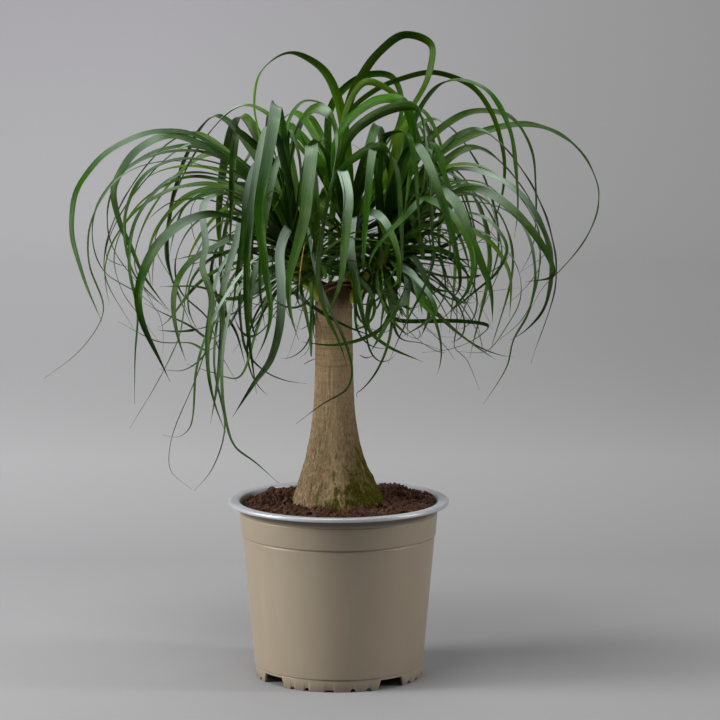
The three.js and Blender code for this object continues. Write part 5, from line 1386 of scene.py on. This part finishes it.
def curl_line(head, random):
    """Route of a thin leaf that rises or hangs from a core and curls up at its end."""
    core = np.array(HEADS[head]["core"], float)
    _, first, last = CURLS["heads"][head]
    bearing = math.radians(random.uniform(first, last))
    lift = random.uniform(*CURLS["lift"])
    flat = math.cos(lift)
    way = np.array([math.cos(bearing) * flat, math.sin(bearing) * flat, math.sin(lift)])
    point = core + way * [CORE["radius"], CORE["radius"], CORE["half_height"]] * CURLS["root"]
    length = random.uniform(*CURLS["length"])
    bend = random.uniform(*CURLS["curl"]) * random.choice([-1, 1])
    axis = unit(random.normal(size=3) * CURLS["axis"])
    steps = int(length / CURLS["step"])
    points = [point]
    for i in range(steps):
        share = i / steps
        way = way + np.cross(axis, way) * bend * share * CURLS["step"]
        way = unit(way - UP * CURLS["droop"] * (1 - CURLS["droop_fade"] * share) * CURLS["step"])
        point = clear_of_trunk(point + way * CURLS["step"])
        points.append(point)
    return np.array(points)


def make_curls(head, materials, random):
    """Thin young leaves that fill a head, some of them dry."""
    patches = Patches()
    narrow, opening = CURLS["opening"]
    for _ in range(CURLS["heads"][head][0]):
        points = smooth_curve(curl_line(head, random), CURLS["curve_steps"])
        share = np.linspace(0, 1, len(points))
        dry = random.uniform() < CURLS["dry_share"]
        wide = CURLS["dry_width"] if dry else random.uniform(*CURLS["width"])
        taper = np.maximum(CURLS["least"], 1 - share ** CURLS["taper"])
        half = wide / 2 * np.minimum(1, narrow + opening * share) * taper
        side = np.cross(tangents_of(points), unit(random.normal(size=3)))
        sides = side / np.maximum(1e-6, np.linalg.norm(side, axis=1))[:, None]
        blade = {"tone": random.uniform(0, CURLS["tone"]), "youth_and_glow": random.uniform(0, CURLS["youth_and_glow"]),
                 "torn": False, "painted_sheen": PAINTED_SHEEN["curls"] * random.uniform()}
        line = points, sides, half, share
        add_ribbon(patches, line, blade, random, CURLS["points"], DRY if dry else 0)
    place_piece(patches.build("curls_" + head, materials), "leaf")


def make_strands(material):
    """Dry strands that lie over the cut and hang beside the trunk."""
    patches = Patches()
    sides = STRAND["sides"]
    for half, *route in STRANDS:
        line = smooth_curve(route, STRAND["steps"])
        share = np.linspace(0, 1, len(line))
        rings = tube(line, half * np.sin(math.pi * mix(*STRAND["ends"], share)) ** 0.5, sides)
        start = patches.count
        patches.add(rings, grid_faces(len(rings), sides))
        end = list(range(sides))
        patches.cover([end[::-1]], start)
        patches.cover([end], start + (len(line) - 1) * sides)
    place_piece(patches.build("dry_strands", [material]), "leaf")


def colour_blades(blades, random):
    """Gives each blade its tone, its youth and glow, and its painted sheen."""
    for blade in blades:
        head = blade["head"]
        blade["tone"] = random.uniform(0.0, TONE[head])
        inside = blade["spaced"].mean() > YOUTH_AND_GLOW["depth"]
        most = YOUTH_AND_GLOW["inside"][head] if inside else YOUTH_AND_GLOW["front"]
        blade["youth_and_glow"] = most * random.uniform() ** YOUTH_AND_GLOW["bias"]
        least, most, bias = PAINTED_SHEEN["inside" if inside else "front"]
        blade["painted_sheen"] = PAINTED_SHEEN["heads"][head] * mix(least, most, random.uniform() ** bias)


def make_leaves():
    random = np.random.RandomState(BLADE_SEED)
    leaf, sheath, dry = leaf_look(), sheath_look(), fibre_look()
    blades = make_blades()
    colour_blades(blades, random)
    for head in HEADS:
        patches = Patches()
        add_stalk(patches, HEADS[head])
        add_sheaths(patches, HEADS[head], random)
        for blade in blades:
            if blade["head"] == head:
                add_ribbon(patches, fine_blade(blade), blade, random, BLADE["points"])
        place_piece(patches.build("leaves_" + head, [leaf, sheath]), "leaf", "leaf_head_" + head)
    random = np.random.RandomState(CURLS["seed"])
    for head in HEADS:
        make_curls(head, [leaf, dry], random)
    make_strands(dry)


# The studio.

def make_stage():
    """Floor that sweeps up into the backdrop."""
    s = STUDIO
    path = [(-s["front"], 0.0), (s["back"], 0.0)]
    for i in range(1, s["steps"] + 1):
        angle = i / s["steps"] * math.pi / 2
        path.append((s["back"] + s["sweep"] * math.sin(angle), s["sweep"] * (1 - math.cos(angle))))
    path.append((s["back"] + s["sweep"], s["height"]))
    points = [[x, y, z] for y, z in path for x in (-s["half_width"], s["half_width"])]
    patches = Patches()
    patches.add(np.array(points) / MM, grid_faces(len(path), 2, around=False, flip=True))
    floor = patches.build("studio_sweep", [stage_look()])


def add_light(name, place, target, size, power):
    light = bpy.data.lights.new(name, "AREA")
    light.shape = "RECTANGLE"
    light.size, light.size_y = size
    light.energy = power
    lamp = add_object(name, light)
    lamp.location = place
    lamp.rotation_euler = (Vector(target) - Vector(place)).to_track_quat("-Z", "Y").to_euler()
    lamp.visible_camera = False


def make_camera():
    camera = bpy.data.cameras.new("camera")
    camera.lens = CAMERA["lens"]
    camera.sensor_width = CAMERA["sensor"]
    viewer = add_object("camera", camera)
    viewer.location = CAMERA["place"]
    viewer.rotation_euler = (math.radians(90 - CAMERA["tilt"]), 0, 0)
    bpy.context.scene.camera = viewer


def make_studio():
    scene = bpy.context.scene
    scene.view_settings.view_transform = "Standard"
    world = bpy.data.worlds.new("studio")
    world.use_nodes = True
    background = world.node_tree.nodes["Background"]
    background.inputs["Color"].default_value = (1.0, 1.0, 1.0, 1.0)
    background.inputs["Strength"].default_value = WORLD_LIGHT
    scene.world = world
    for name, values in LIGHTS.items():
        add_light(name, *values)
    make_camera()
    make_stage()


make_studio()
make_pot()
make_soil()
make_trunk()
make_leaves()
